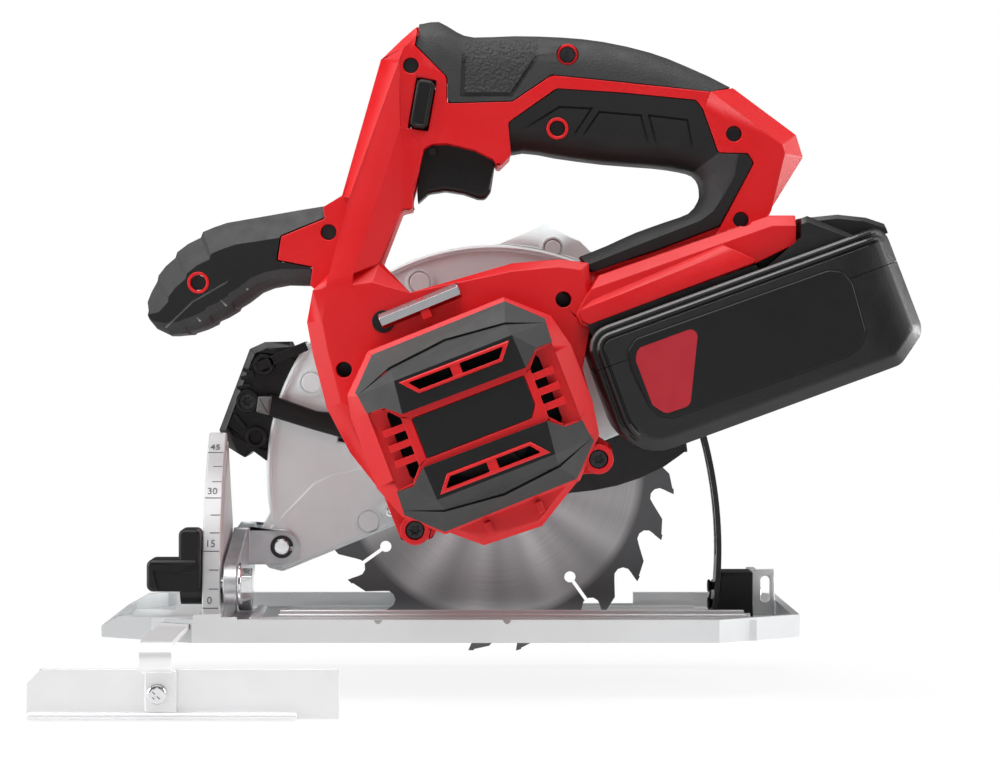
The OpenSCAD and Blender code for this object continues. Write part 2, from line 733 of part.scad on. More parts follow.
module body_outline() {
    polygon(concat([[24, 121]], body_low, [[-60, 139], [-44, 143], [-32.2, 132.1],
        [6.3, 143.8], [30, 146], [32, 136], [30, 124]]));
}

// Extrudes an outline from the seam outwards by w: side is -1 near, 1 far.
// past carries it beyond the seam, for cutting.
module half_slab(side, w, past = 0) {
    slab(side < 0 ? seam_y - w : seam_y - past, side < 0 ? seam_y + past : seam_y + w)
        children();
}

// One half of the housing, with its motor part body_w wide.
module shell_solid(side, body_w) difference() {
    union() {
        half_slab(side, grip_w) {
            difference() {
                outer_outline();
                grip_zones();
            }
            polygon(red_web);
        }
        half_slab(side, grip_w - rubber_t) {
            intersection() {
                offset(delta = -rubber_t) outer_outline();
                grip_zones();
            }
            offset(delta = -rubber_t) front_web();
        }
        half_slab(side, body_w) body_outline();
    }
    half_slab(side, grip_w - rubber_t - wall, 1) {
        offset(delta = -rubber_t - wall) outer_outline();
        offset(delta = -rubber_t - wall) front_web();
    }
    half_slab(side, body_w - wall, 1) offset(delta = -wall) body_outline();
}

// Rail that carries the battery, a box open at its rear end.
module rail_block(y0, y1, in0, in1) pack_frame() difference() {
    box([rail_u0, y0, pack_v1 + 1.5], [rail_u1, y1, rail_v]);
    box([rail_u0 + wall, in0, pack_v1 + 1.5 + wall], [rail_u1 - wall, in1, rail_v - wall]);
}

// Everything that passes through a shell.
module shell_cuts() {
    ybar(motor_x, motor_z, -140, -40, can_r + gap);
    slab(-110, -95) offset(delta = -6) polygon(cap_outline);
    for (p = screw_spots) ybar(p.x, p.y, -140, -40, 1.5);
    for (p = screw_spots) ybar(p.x, p.y, -140, grip_near + 5, 3);
    for (p = cap_ears) ybar(p.x, p.y, -110, -80, 1.6);
    lock_off_body(0.25);
    trigger_room();
    ybar(trigger_x, trigger_z, seam_y - 12, seam_y + 12, 1.5);
    // Hex key's hole
    ybar(-41, 122.5, -110, -80, 2.9);
    // Window for the battery contacts
    pack_frame() box([87, seam_y - 11, pack_v1], [105, seam_y + 11, pack_v1 + 14]);
}

module trigger_room() box([-29, seam_y - 8.4, 160], [1.5, seam_y + 8.4, 194]);

module handle_shell_left() color([0.85, 0.13, 0.12]) difference() {
    union() {
        shell_solid(-1, seam_y - body_near);
        rail_block(rail_near, seam_y, rail_near + wall, seam_y + 1);
        for (p = cap_ears) ybar(p.x, p.y, body_near, body_near + 10, 4.4);
    }
    shell_cuts();
}

module handle_shell_right() color([0.85, 0.13, 0.12]) difference() {
    union() {
        shell_solid(1, case_y0 - seam_y);
        rail_block(seam_y, rail_far, seam_y - 1, rail_far - wall);
    }
    shell_cuts();
}

module rubber_skin(side) difference() {
    half_slab(side, grip_w) intersection() {
        outer_outline();
        grip_zones();
    }
    half_slab(side, grip_w - rubber_t, 1) offset(delta = -rubber_t) outer_outline();
    for (p = screw_spots) ybar(p.x, p.y, -140, -40, 3);
    trigger_room();
}

module grip_rubber_left() color([0.17, 0.17, 0.18]) rubber_skin(-1);

module grip_rubber_right() color([0.17, 0.17, 0.18]) rubber_skin(1);

module front_skin(side) difference() {
    half_slab(side, grip_w) difference() {
        polygon(front_grip);
        outer_outline();
        polygon(red_web);
    }
    half_slab(side, grip_w - rubber_t, 1) offset(delta = -rubber_t) front_web();
    for (p = screw_spots) ybar(p.x, p.y, -140, -40, 3);
}

module front_grip_left() color([0.17, 0.17, 0.18]) front_skin(-1);

module front_grip_right() color([0.17, 0.17, 0.18]) front_skin(1);

module motor_cap() color([0.86, 0.14, 0.12]) difference() {
    union() {
        slab(cap_near, body_near) polygon(cap_outline);
        for (p = cap_ears) ybar(p.x, p.y, body_near - 12, body_near, 4.4);
    }
    slab(cap_near + wall, body_near + 1) offset(delta = -wall) polygon(cap_outline);
    for (p = cap_ears) ybar(p.x, p.y, -140, -90, 1.6);
    for (p = cap_ears) ybar(p.x, p.y, -140, body_near - 12, 3.4);
    // Vents above and below the label
    translate([motor_x, 0, motor_z + 1.5]) rotate([0, -20, 0])
        for (s = [-1, 1], i = [-1, 1])
            box([i * 9 - 7, cap_near - 1, s * 19 - 2], [i * 9 + 7, cap_near + 5, s * 19 + 2]);
}

// Rubber pads and label lie on the cap's face.
module on_cap() {
    translate([motor_x, 0, motor_z + 1.5]) rotate([0, -20, 0]) children();
}

module cap_rubber() color([0.25, 0.25, 0.26]) intersection() {
    on_cap() for (s = [-1, 1]) difference() {
        box([-26, cap_near - 2, s > 0 ? 12 : -45], [26, cap_near, s > 0 ? 45 : -12]);
        for (i = [-1, 1])
            box([i * 9 - 8, cap_near - 3, s * 19 - 3], [i * 9 + 8, cap_near + 5, s * 19 + 3]);
    }
    slab(cap_near - 2, cap_near) offset(delta = -1.5) polygon(cap_outline);
}

module label_panel() color([0.05, 0.05, 0.05]) on_cap()
    box([-22, cap_near - 1, -9], [22, cap_near, 9]);

module switch_module() color([0.15, 0.15, 0.16])
    box([-14, seam_y - 9, 196], [22, seam_y + 9, 213]);

module terminal_block() color([0.12, 0.12, 0.13]) pack_frame() {
    box([88, seam_y - 10, pack_v1 + 3], [104, seam_y + 10, pack_v1 + 13]);
    for (y = [-8, -3, 3, 8]) box([90, seam_y + y - 0.5, pack_v1 + 0.4],
        [102, seam_y + y + 0.5, pack_v1 + 3]);
}

wire_path = [[-6, 214.5], [-14, 219.5], [-23, 224.3], [-30.5, 225], [-37, 219.5],
    [-38.5, 210], [-43, 194], [-49, 174], [-55, 157], [-56, 143], [-46, 129], [-30, 114],
    [-12, 107.5]];

function across(i) = let (a = wire_path[max(i - 1, 0)],
    b = wire_path[min(i + 1, len(wire_path) - 1)], d = (b - a) / norm(b - a)) [-d.y, d.x];

// One wire, swept along the path in the plane Y = y.
module wire(y) polyhedron(
    points = [for (i = [0:len(wire_path) - 1], k = [0:7])
        let (p = wire_path[i] + 1.3 * cos(45 * k) * across(i)) [p.x, y + 1.3 * sin(45 * k), p.y]],
    faces = concat([[for (k = [7:-1:0]) k]],
        [for (i = [0:len(wire_path) - 2], k = [0:7]) [8 * i + k, 8 * i + (k + 1) % 8,
            8 * i + 8 + (k + 1) % 8, 8 * i + 8 + k]],
        [[for (k = [0:7]) 8 * (len(wire_path) - 1) + k]]));

module wiring() color([0.7, 0.1, 0.1]) {
    wire(seam_y - 4);
    wire(seam_y + 1);
}

module housing_screws() color([0.3, 0.3, 0.32])
    for (p = screw_spots) {
        ybar(p.x, p.y, grip_near + 5, grip_far - 4, 1.5);
        ybar(p.x, p.y, grip_near + 3, grip_near + 5, 2.8);
    }

module cap_screws() color([0.1, 0.1, 0.1])
    for (p = cap_ears) {
        ybar(p.x, p.y, body_near - 12, body_near + 9, 1.6);
        ybar(p.x, p.y, body_near - 14, body_near - 12, 3.4);
    }

// ---- Depth lock ----

// Moves children to the strip at the clamp's angle: x points out along the radius.
module at_clamp() {
    translate([piv_x, 0, piv_z]) rotate([0, -clamp_a, 0]) translate([strip_r, 0, 0])
        children();
}

module depth_clamp() color([0.5, 0.5, 0.52]) {
    difference() {
        union() {
            at_clamp() box([-6, -45.5, -9], [-1.4, strip_y1 - 1, 9]);
            pack_frame() {
                box([97, -45.5, 62], [110, -43.5, 114]);
                box([97, rail_far, 103], [110, -43.5, 114]);
            }
        }
        at_clamp() xbar(-35, 0, -8, 8, 2);
    }
    at_clamp() {
        xbar(-35, 0, -7.5, 12, 2);
        xbar(-35, 0, -9, -6, 4);
        difference() {
            xbar(-35, 0, 1.4, 2.6, 5);
            xbar(-35, 0, -3, 12, 2);
        }
    }
}

module depth_lever() color([0.08, 0.08, 0.09]) at_clamp() difference() {
    union() {
        xbar(-35, 0, 3, 12, 6);
        box([6, -38.5, 0], [12, -31.5, 22]);
    }
    xbar(-35, 0, 0, 20, 2 + run);
}

// ---- Controls ----

module lock_off_body(grow) {
    translate([-27.7, 0, 204.8]) rotate([0, 10, 0])
        box([-3.6 - grow, grip_near - 2.5, -9.6 - grow],
            [3.6 + grow, grip_far - 0.5 + (grow > 0 ? 10 : 0), 9.6 + grow]);
}

module lock_off_button() color([0.07, 0.07, 0.08]) lock_off_body(0);

trigger_outline = [[-26.5, 189], [-24, 192], [-5.8, 188.5], [0, 183.5], [-2.2, 172.6],
    [-4.4, 171.2], [-15, 174.5], [-24, 175.5], [-28.3, 171]];

module trigger() color([0.08, 0.08, 0.09]) slab(seam_y - 8, seam_y + 8) difference() {
    polygon(trigger_outline);
    translate([trigger_x, trigger_z]) circle(1.5 + run);
}

module trigger_pin() color([0.6, 0.6, 0.62])
    ybar(trigger_x, trigger_z, seam_y - 12, seam_y + 12, 1.5);

// ---- Battery ----

module pack_outline() {
    polygon([[73, pack_v1], [76, 88.5], [71, 73], [71, 59], [74, 53], [81, 49],
        [87, pack_v0], [178, pack_v0], [187, 51], [192, 56], [pack_u1, 84],
        [pack_u1 - 1.5, pack_v1]]);
}

module battery_case() color([0.08, 0.08, 0.09]) pack_frame() difference() {
    slab(pack_near, pack_far) pack_outline();
    slab(pack_near + wall, pack_far - wall) offset(delta = -wall) pack_outline();
    box([60, -130, 90], [200, -30, 110]);
}

module battery_lid() color([0.08, 0.08, 0.09]) pack_frame() difference() {
    union() {
        slab(pack_near, pack_far) intersection() {
            pack_outline();
            translate([60, 90]) square([140, 20]);
        }
        slab(pack_near + 4, pack_far - 4)
            polygon([[160, pack_v1], [162.9, 111.5], [186, 103.4], [191, 99]]);
    }
    box([76, pack_near + wall, 80], [190, pack_far - wall, pack_v1 - wall]);
    // Room for the latch
    box([166, latch_y - 12, pack_v1 - 6], [184, latch_y + 12, 120]);
}

module battery_cells() color([0.2, 0.45, 0.3]) pack_frame()
    for (i = [0:4], j = [0, 1]) ybar(88.5 + i * 19.5, 59.8 + j * 19, -114.5, -49.5, 9.2);

module battery_latch() color([0.06, 0.06, 0.07]) pack_frame()
    box([166.3, latch_y - 11.7, pack_v1 - 1], [183.7, latch_y + 11.7, 109]);

// ---- Hex key ----

module hex_key() color([0.85, 0.85, 0.87]) {
    translate([-41, 0, 122.5]) rotate([0, -23.5, 0]) {
        xbar(-107, 0, -2.5, 31, 2.5);
        ybar(0, 0, -107, -90, 2.5);
    }
}

base_plate();
bevel_quadrant();
rear_ear();
guide_bar();
fence_plate();
fence_screw();
front_bracket();
depth_pivot_pin();
bevel_pins();
bevel_bolt();
depth_strip();
strip_foot();
bevel_lever();
upper_guard();
guard_cover();
cover_screw();
bearing_holder();
gear_case();
spindle_bearings();
handle_shell_left();
handle_shell_right();
grip_rubber_left();
grip_rubber_right();
front_grip_left();
front_grip_right();
motor_cap();
cap_rubber();
label_panel();
motor_can();
magnets();
brush_holder();
carbon_brushes();
motor_bearings();
switch_module();
terminal_block();
wiring();
housing_screws();
cap_screws();
depth_clamp();
return_spring();
depth_lever();
spindle();
drive_gear();
blade_flanges();
blade();
blade_bolt();
rotor_shaft();
armature();
cooling_fan();
lower_guard();
guard_lever();
trigger();
lock_off_button();
spindle_lock();
battery_case();
battery_lid();
battery_cells();
battery_latch();
hex_key();
trigger_pin();
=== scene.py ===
# %% [markdown]
# # A cordless circular saw
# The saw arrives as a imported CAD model: every piece has its real size and place, but flat
# colours and sharp edges. This lesson gives it a camera, soft light, real finishes, and new
# rounded pieces where a moulded or cast part needs them. Blender works in metres, and MM
# turns the drawing's millimetres into them.

# %% Load the CAD model
import math

import bmesh
import bpy
from mathutils import Matrix, Vector


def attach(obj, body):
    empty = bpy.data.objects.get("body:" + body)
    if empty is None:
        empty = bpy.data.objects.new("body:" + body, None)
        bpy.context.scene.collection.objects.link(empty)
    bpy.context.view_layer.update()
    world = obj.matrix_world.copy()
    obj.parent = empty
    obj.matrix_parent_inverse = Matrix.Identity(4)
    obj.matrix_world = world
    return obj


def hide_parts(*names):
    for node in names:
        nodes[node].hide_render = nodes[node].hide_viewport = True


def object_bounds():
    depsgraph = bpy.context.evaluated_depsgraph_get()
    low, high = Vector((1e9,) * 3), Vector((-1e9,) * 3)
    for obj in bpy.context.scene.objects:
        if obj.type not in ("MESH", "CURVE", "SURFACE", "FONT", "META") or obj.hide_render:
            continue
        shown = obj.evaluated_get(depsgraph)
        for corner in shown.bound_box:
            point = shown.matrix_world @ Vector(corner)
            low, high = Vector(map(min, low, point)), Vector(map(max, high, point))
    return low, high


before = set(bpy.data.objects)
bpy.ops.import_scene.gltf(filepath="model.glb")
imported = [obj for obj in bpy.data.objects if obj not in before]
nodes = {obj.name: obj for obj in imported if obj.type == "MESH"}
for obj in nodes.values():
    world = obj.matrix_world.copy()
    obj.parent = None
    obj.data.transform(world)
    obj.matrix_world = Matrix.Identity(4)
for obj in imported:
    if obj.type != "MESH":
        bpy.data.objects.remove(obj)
cad_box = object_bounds()
MM = 0.001
print("CAD nodes:", len(nodes))

# %% [markdown]
# The saw is seen square from its motor side, so the camera looks along +Y from well in front
# of it. A long lens keeps the depth quiet. The picture's centre lies a little right of the
# lens axis and below it, which two small lens shifts give without tilting the view.

# %% Camera
camera_data = bpy.data.cameras.new("camera")
camera_data.sensor_width = 36.0
camera_data.lens = 110.5
camera_data.shift_x = 0.030
camera_data.shift_y = -0.048
camera_data.clip_end = 30.0
camera = bpy.data.objects.new("camera", camera_data)
camera.location = (-0.0095, -1.263, 0.1148)
camera.rotation_euler = (math.radians(90), 0, 0)
bpy.context.scene.collection.objects.link(camera)
bpy.context.scene.camera = camera
print("camera at", tuple(camera.location))

# %% [markdown]
# A product picture is lit by big soft boxes. One wide lamp hangs above, one stands close on
# each side, so that every facet that leans away from the camera glows, a small low one wakes
# the battery's end, and one high in front lights the flat faces.

# %% Lamps
saw_middle = Vector((0.0, -0.06, 0.10))
for name, spot, width, height, watts in (("top_box", (-0.15, -0.25, 1.20), 1.5, 1.0, 16.0),
        ("left_box", (-1.30, -0.30, 0.40), 0.8, 1.0, 12.0),
        ("right_box", (1.15, -0.10, 0.60), 0.9, 1.0, 7.0),
        ("low_box", (0.90, 0.25, 0.14), 0.5, 0.3, 5.0),
        ("front_box", (-0.20, -1.05, 1.30), 1.2, 0.8, 6.0)):
    lamp = bpy.data.lights.new(name, "AREA")
    lamp.shape = "RECTANGLE"
    lamp.size, lamp.size_y, lamp.energy = width, height, watts
    holder = bpy.data.objects.new(name, lamp)
    holder.location = spot
    aim = saw_middle - Vector(spot)
    holder.rotation_euler = aim.to_track_quat("-Z", "Y").to_euler()
    bpy.context.scene.collection.objects.link(holder)

# %% [markdown]
# Looks are built from nodes. One helper adds a node and sets its options first, because they
# decide which inputs it has; then it fills each input with a value, or links it. The world is
# its first use: an even, faint fill on the saw that shows as plain white to the camera.

# %% Adding a node, and the world
def add_node(tree, kind, inputs=None, **options):
    """Inputs maps an input's name or number to a value or to another node's output."""
    made = tree.nodes.new(kind)
    for key, value in options.items():
        setattr(made, key, value)
    for key, value in (inputs or {}).items():
        if isinstance(value, bpy.types.NodeSocket):
            tree.links.new(value, made.inputs[key])
        else:
            made.inputs[key].default_value = value
    return made


def larger(tree, first, second):
    """The larger of two outputs: true when either is."""
    return add_node(tree, "ShaderNodeMath", {0: first, 1: second},
        operation="MAXIMUM").outputs[0]


world = bpy.data.worlds.new("studio")
world.use_nodes = True
bpy.context.scene.world = world
sky = world.node_tree
sky.nodes.clear()
ray = add_node(sky, "ShaderNodeLightPath").outputs
fill, white = [add_node(sky, "ShaderNodeBackground", {"Color": (1, 1, 1, 1),
    "Strength": strength}).outputs[0] for strength in (0.12, 1.0)]
seen = larger(sky, ray["Is Camera Ray"], ray["Is Transmission Ray"])
mix = add_node(sky, "ShaderNodeMixShader", {0: seen, 1: fill, 2: white})
add_node(sky, "ShaderNodeOutputWorld", {0: mix.outputs[0]})
bpy.context.scene.view_settings.view_transform = "Standard"
print("world nodes:", len(sky.nodes))

# %% [markdown]
# ## Finishes
# Every finish is built on Object coordinates, so it sticks to the saw in metres. One helper
# starts a Principled shader; others add what real surfaces have: blotches of slightly
# different colour, uneven shine, and moulding grain. A picture wrapped round the piece could
# give the same, but noise needs no unwrapping and has no seams. Sizes and heights are in metres.

# %% Material helpers
def srgb(*levels):
    """Three 8-bit colour levels as the linear colour that a shader takes."""
    def linear(c):
        c /= 255
        return c / 12.92 if c <= 0.04045 else ((c + 0.055) / 1.055) ** 2.4
    return (*[linear(level) for level in levels], 1.0)


class Finish:
    """A Principled material with a few ways of adding detail."""

    def __init__(self, name, levels, roughness, metallic=0.0, specular=0.5):
        self.mat = bpy.data.materials.new(name + "_finish")
        self.mat.use_nodes = True
        self.tree = self.mat.node_tree
        self.shader = self.tree.nodes["Principled BSDF"]
        self.colour = self.mat.diffuse_color = srgb(*levels)
        for key, value in (("Base Color", self.colour), ("Roughness", roughness),
                ("Metallic", metallic), ("Specular IOR Level", specular)):
            self.shader.inputs[key].default_value = value
        self.place = self.node("ShaderNodeTexCoord").outputs["Object"]

    def node(self, kind, inputs=None, **options):
        return add_node(self.tree, kind, inputs, **options)

    def feed(self, name, output):
        """Links an output to the shader's input of that name."""
        self.tree.links.new(output, self.shader.inputs[name])
        return self

    def noise(self, size, detail=3.0):
        """Noise whose blotches are about size metres across."""
        finer = self.node("ShaderNodeVectorMath", {0: self.place, 1: [1 / size] * 3},
            operation="MULTIPLY")
        return self.node("ShaderNodeTexNoise", {"Vector": finer.outputs[0], "Scale": 1.0,
            "Detail": detail}).outputs["Fac"]

    def ramp(self, value, low, high, left=0.3, right=0.7):
        """Spreads a 0-1 value between two numbers or colours."""
        out = self.node("ShaderNodeValToRGB", {"Fac": value})
        for stop, where, tint in zip(out.color_ramp.elements, (left, right), (low, high)):
            stop.position = where
            stop.color = tint if hasattr(tint, "__len__") else (tint, tint, tint, 1)
        return out.outputs["Color"]

    def mottle(self, size, amount):
        """Colour varies by amount, lighter and darker, in soft blotches."""
        dark, light = [[min(1, c * (1 + change)) for c in self.colour[:3]] + [1]
            for change in (-amount, amount)]
        return self.feed("Base Color", self.ramp(self.noise(size), dark, light))

    def rough(self, size, low, high):
        """Roughness varies between two values."""
        return self.feed("Roughness", self.ramp(self.noise(size, 4.0), low, high))

    def relief(self, value, height):
        """Bumps of a height that a 0-1 value scales."""
        bump = self.node("ShaderNodeBump", {"Strength": 1.0, "Distance": height,
            "Height": value})
        return self.feed("Normal", bump.outputs["Normal"])

    def grain(self, size, height):
        """The fine grain of a mould."""
        return self.relief(self.noise(size, 2.0), height)


print("material helpers ready")

# %% [markdown]
# The housing is glass-filled nylon, coloured red in the mass and moulded with a fine spark
# grain. It has a broad, soft shine and no clear coat. The black plastics are the same stuff,
# a little smoother. The battery's ridged rim is paler grey where it faces up: a painted highlight.

# %% Plastics
red_plastic = Finish("red_plastic", (204, 5, 15), 0.42, specular=0.45)
red_plastic.mottle(0.03, 0.04).rough(0.012, 0.38, 0.48).grain(0.0006, 0.00005)
black_plastic = Finish("black_plastic", (10, 10, 11), 0.40, specular=0.38)
black_plastic.mottle(0.02, 0.15).rough(0.01, 0.36, 0.50).grain(0.0005, 0.00005)
battery_plastic = Finish("battery_plastic", (20, 20, 21), 0.36, specular=0.5)
battery_plastic.mottle(0.03, 0.12).rough(0.008, 0.32, 0.44).grain(0.0007, 0.00006)
# Paler grey for the rim's upward faces: a painted highlight.
rim_plastic = Finish("rim_plastic", (104, 104, 104), 0.46, specular=0.5)
rim_plastic.mottle(0.02, 0.10)
print("plastics ready")

# %% [markdown]
# The grips are overmoulded with soft rubber: dark grey, with a broad dull shine and a coarse
# leathery grain, so it reads softer than plastic. Flat bands are darker, the hand's panel is
# stippled a millimetre deep, and the floors of creases are painted pale: a painted highlight.

# %% Rubbers
rubber = Finish("rubber", (44, 44, 45), 0.56, specular=0.50)
rubber.mottle(0.015, 0.14).rough(0.006, 0.54, 0.70).grain(0.0009, 0.00020)
dark_rubber = Finish("dark_rubber", (18, 18, 19), 0.60, specular=0.35)
dark_rubber.mottle(0.015, 0.12).rough(0.006, 0.52, 0.66).grain(0.0009, 0.00008)
stipple_rubber = Finish("stipple_rubber", (34, 34, 35), 0.58, specular=0.55)
stipple_rubber.mottle(0.008, 0.15).grain(0.0012, 0.00120)
panel_rubber = Finish("panel_rubber", (58, 58, 58), 0.58, specular=0.38)
panel_rubber.mottle(0.02, 0.08).rough(0.006, 0.52, 0.66).grain(0.0006, 0.00008)
# Pale grey on the creases' floors: a painted highlight.
pale_rubber = Finish("pale_rubber", (150, 150, 150), 0.60, specular=0.40)
pale_rubber.mottle(0.01, 0.10)
print("rubbers ready")

# %% [markdown]
# The sole and the guard are die-cast aluminium, tumbled and left bare: pale, satin and faintly
# cloudy. The sheet parts are zinc-plated steel, brighter and more even. A full metal mirrors
# the dark side of the room, so the pale ones are only partly metallic and keep their colour.

# %% Cast alloy and plated steel
cast_alloy = Finish("cast_alloy", (224, 226, 227), 0.36, metallic=0.35)
cast_alloy.mottle(0.05, 0.03).grain(0.0008, 0.00002)
guard_alloy = Finish("guard_alloy", (238, 248, 249), 0.46, metallic=0.0)
guard_alloy.mottle(0.03, 0.05).rough(0.010, 0.42, 0.56).grain(0.0007, 0.00005)
plated_steel = Finish("plated_steel", (240, 240, 241), 0.32, metallic=0.45)
plated_steel.mottle(0.02, 0.02).grain(0.0008, 0.00002)
bright_steel = Finish("bright_steel", (226, 226, 228), 0.16, metallic=1.0)
bright_steel.mottle(0.008, 0.05).rough(0.003, 0.10, 0.24)
dark_steel = Finish("dark_steel", (58, 58, 60), 0.38, metallic=0.8)
dark_steel.mottle(0.006, 0.2).rough(0.003, 0.3, 0.5)
black_metal = Finish("black_metal", (24, 24, 25), 0.40, metallic=0.1)
black_metal.mottle(0.02, 0.15).rough(0.008, 0.34, 0.46).grain(0.0012, 0.00006)
print("metals ready")

# %% [markdown]
# Inside the housing are a copper winding, cells in shrink sleeve and insulated wire. They are
# hidden unless the housing comes off, so a plain blotched colour is enough for each.

# %% Inner finishes
copper_winding = Finish("copper_winding", (150, 84, 48), 0.35, metallic=0.9)
copper_winding.mottle(0.002, 0.3)
cell_wrap = Finish("cell_wrap", (60, 140, 90), 0.4)
cell_wrap.mottle(0.01, 0.1)
wire_skin = Finish("wire_skin", (170, 30, 30), 0.45)
wire_skin.mottle(0.01, 0.1)
print("inner finishes ready")

# %% [markdown]
# The blade is ground steel. Grinding leaves fine rings about the spindle, and the outer band is
# darker where the coating stays. Bright and darker sectors round the spindle are painted into
# the colour as a painted reflection. The rings and sectors come from noise on the radius and the
# angle.

# %% Blade steel
axis_height = 0.0615
band_start, band_full = 0.0588, 0.0592
blade_steel = Finish("blade_steel", (178, 178, 180), 0.34, metallic=0.9)
from_axis = blade_steel.node("ShaderNodeVectorMath",
    {0: blade_steel.place, 1: (0, 0, axis_height)}, operation="SUBTRACT")
spot = blade_steel.node("ShaderNodeSeparateXYZ", {0: from_axis.outputs[0]}).outputs


def blade_sum(operation, *values):
    return blade_steel.node("ShaderNodeMath", dict(enumerate(values)),
        operation=operation).outputs[0]


def polar_noise(across, around, detail):
    """Noise on two values that come from the radius and the angle."""
    pair = blade_steel.node("ShaderNodeCombineXYZ", {0: across, 1: around})
    return blade_steel.node("ShaderNodeTexNoise", {"Vector": pair.outputs[0], "Scale": 1.0,
        "Detail": detail}).outputs["Fac"]


squares = [blade_sum("MULTIPLY", spot[axis], spot[axis]) for axis in "XZ"]
radius = blade_sum("SQRT", blade_sum("ADD", *squares))
angle = blade_sum("ARCTAN2", spot["Z"], spot["X"])
rings = polar_noise(blade_sum("MULTIPLY", radius, 2600.0),
    blade_sum("MULTIPLY", angle, 1.6), 3.0)
# Bright and darker sectors by angle, painted into the colour: a painted reflection.
sectors = polar_noise(blade_sum("MULTIPLY", angle, 2.2), 0.0, 1.0)
grinding_and_sheen = blade_steel.node("ShaderNodeMix", {"Factor": 1.0,
    "A": blade_steel.ramp(sectors, srgb(150, 150, 152), srgb(226, 226, 228)),
    "B": blade_steel.ramp(rings, 0.86, 1.0)}, data_type="RGBA", blend_type="MULTIPLY")
banded = blade_steel.node("ShaderNodeMix", {
    "Factor": blade_steel.ramp(radius, 0.0, 1.0, band_start, band_full),
    "A": grinding_and_sheen.outputs["Result"], "B": srgb(104, 104, 106)}, data_type="RGBA")
blade_steel.relief(rings, 0.00002).feed("Base Color", banded.outputs["Result"])
print("blade finish nodes:", len(blade_steel.tree.nodes))

# %% [markdown]
# ## Tools for making moulded pieces
# A moulded half or a casting is an outline with thickness: draw the outline, soften its
# corners, pull it to depth, then break its rims with a chamfer or a round. Outlines here are
# X and Z in millimetres, and depths are Y, with the near side of the saw at the smaller Y.

# %% A plate from an outline
TINY = 1e-6  # metres: places closer than this are the same
SHORTEST_ROUND = 0.00003  # metres: a corner's round shorter than this is left out
DEGREES_A_STEP = 11  # a round corner has one step for about this much turn
NEARLY_HALF = 0.48  # a round takes less than half of each edge that it meets


def bevel(shape, parts, width, steps=1, affect="EDGES"):
    """One step cuts a flat; more steps round it. The width is in metres."""
    bmesh.ops.bevel(shape, geom=parts, offset=width, offset_type="OFFSET", segments=steps,
        profile=0.5, affect=affect, material=-1, clamp_overlap=False)


def plate(outline, near, far, radius=1.0, sharp=None):
    """Closed plate; corners get the radius, or as much of it as their edges allow.
    Corners where a broad chamfer runs are kept sharp, so that its faces meet cleanly."""
    shape = bmesh.new()
    corners = [shape.verts.new((x * MM, near * MM, z * MM)) for x, z in outline]
    shape.faces.new(corners)
    reach = []
    for (x, z), corner in zip(outline, corners):
        back, ahead = [e.other_vert(corner).co - corner.co for e in corner.link_edges]
        turn = math.pi - back.angle(ahead)
        wanted = 0 if sharp and sharp(x, z) else radius * MM * math.tan(turn / 2)
        room = NEARLY_HALF * min(back.length, ahead.length)
        reach.append((min(wanted, room), turn))
    for corner, (length, turn) in zip(corners, reach):
        if length > SHORTEST_ROUND:
            steps = max(1, round(math.degrees(turn) / DEGREES_A_STEP))
            bevel(shape, [corner], length, steps, "VERTICES")
    pulled = bmesh.ops.extrude_face_region(shape, geom=shape.faces[:])["geom"]
    bmesh.ops.translate(shape, vec=(0, (far - near) * MM, 0),
        verts=[v for v in pulled if isinstance(v, bmesh.types.BMVert)])
    bmesh.ops.recalc_face_normals(shape, faces=shape.faces[:])
    return shape


def rim(shape, depth, where=None):
    """Edges between the flat face at a depth and the walls that stand on it."""
    found = []
    for edge in shape.edges:
        flat = all(abs(v.co.y - depth * MM) < TINY for v in edge.verts)
        if not flat or len(edge.link_faces) != 2:
            continue
        slopes = sorted(abs(f.normal.y) for f in edge.link_faces)
        middle = (edge.verts[0].co + edge.verts[1].co) / 2 / MM
        if slopes[0] < 0.05 and slopes[1] > 0.99 and (not where or where(middle.x, middle.z)):
            found.append(edge)
    return found


def break_rim(shape, depth, width, steps=1, where=None):
    """Chamfers a rim, or rounds it when it is given more steps."""
    edges = rim(shape, depth, where)
    if edges:
        bevel(shape, edges, width * MM, steps)
    return shape


print("plate tools ready")

# %% [markdown]
# Holes, pockets and joined blocks could be left as live modifiers. Here they are exact
# Booleans on closed shapes, read back from the evaluated mesh, so that the next cut works on
# a plain mesh and no modifier stays on the piece.

# %% Joining and cutting
WELD = 0.00001  # metres: points closer than this become one


def combine(first, second, how):
    holders = []
    for shape in (first, second):
        mesh = bpy.data.meshes.new("work")
        shape.to_mesh(mesh)
        shape.free()
        holder = bpy.data.objects.new("work", mesh)
        bpy.context.scene.collection.objects.link(holder)
        holders.append(holder)
    tool = holders[0].modifiers.new("combine", "BOOLEAN")
    tool.operation, tool.object, tool.solver = how, holders[1], "EXACT"
    ready = holders[0].evaluated_get(bpy.context.evaluated_depsgraph_get())
    made = bpy.data.meshes.new_from_object(ready)
    result = bmesh.new()
    result.from_mesh(made)
    for holder in holders:
        bpy.data.meshes.remove(holder.data)
    bpy.data.meshes.remove(made)
    bmesh.ops.remove_doubles(result, verts=result.verts[:], dist=WELD)
    return result


def join(shape, *others):
    for other in others:
        shape = combine(shape, other, "UNION")
    return shape


def cut(shape, *others):
    for other in others:
        shape = combine(shape, other, "DIFFERENCE")
    return shape


def gather(*shapes):
    """Puts separate closed shapes into one."""
    mesh = bpy.data.meshes.new("work")
    whole = bmesh.new()
    for shape in shapes:
        shape.to_mesh(mesh)
        shape.free()
        whole.from_mesh(mesh)
    bpy.data.meshes.remove(mesh)
    return whole


print("joining tools ready")

# %% [markdown]
# Bars, pins and blocks start from Blender's cone and cube. Most pins on the saw lie along Y,
# so one short form is for them. A shape is drawn about the origin and then set in its place.

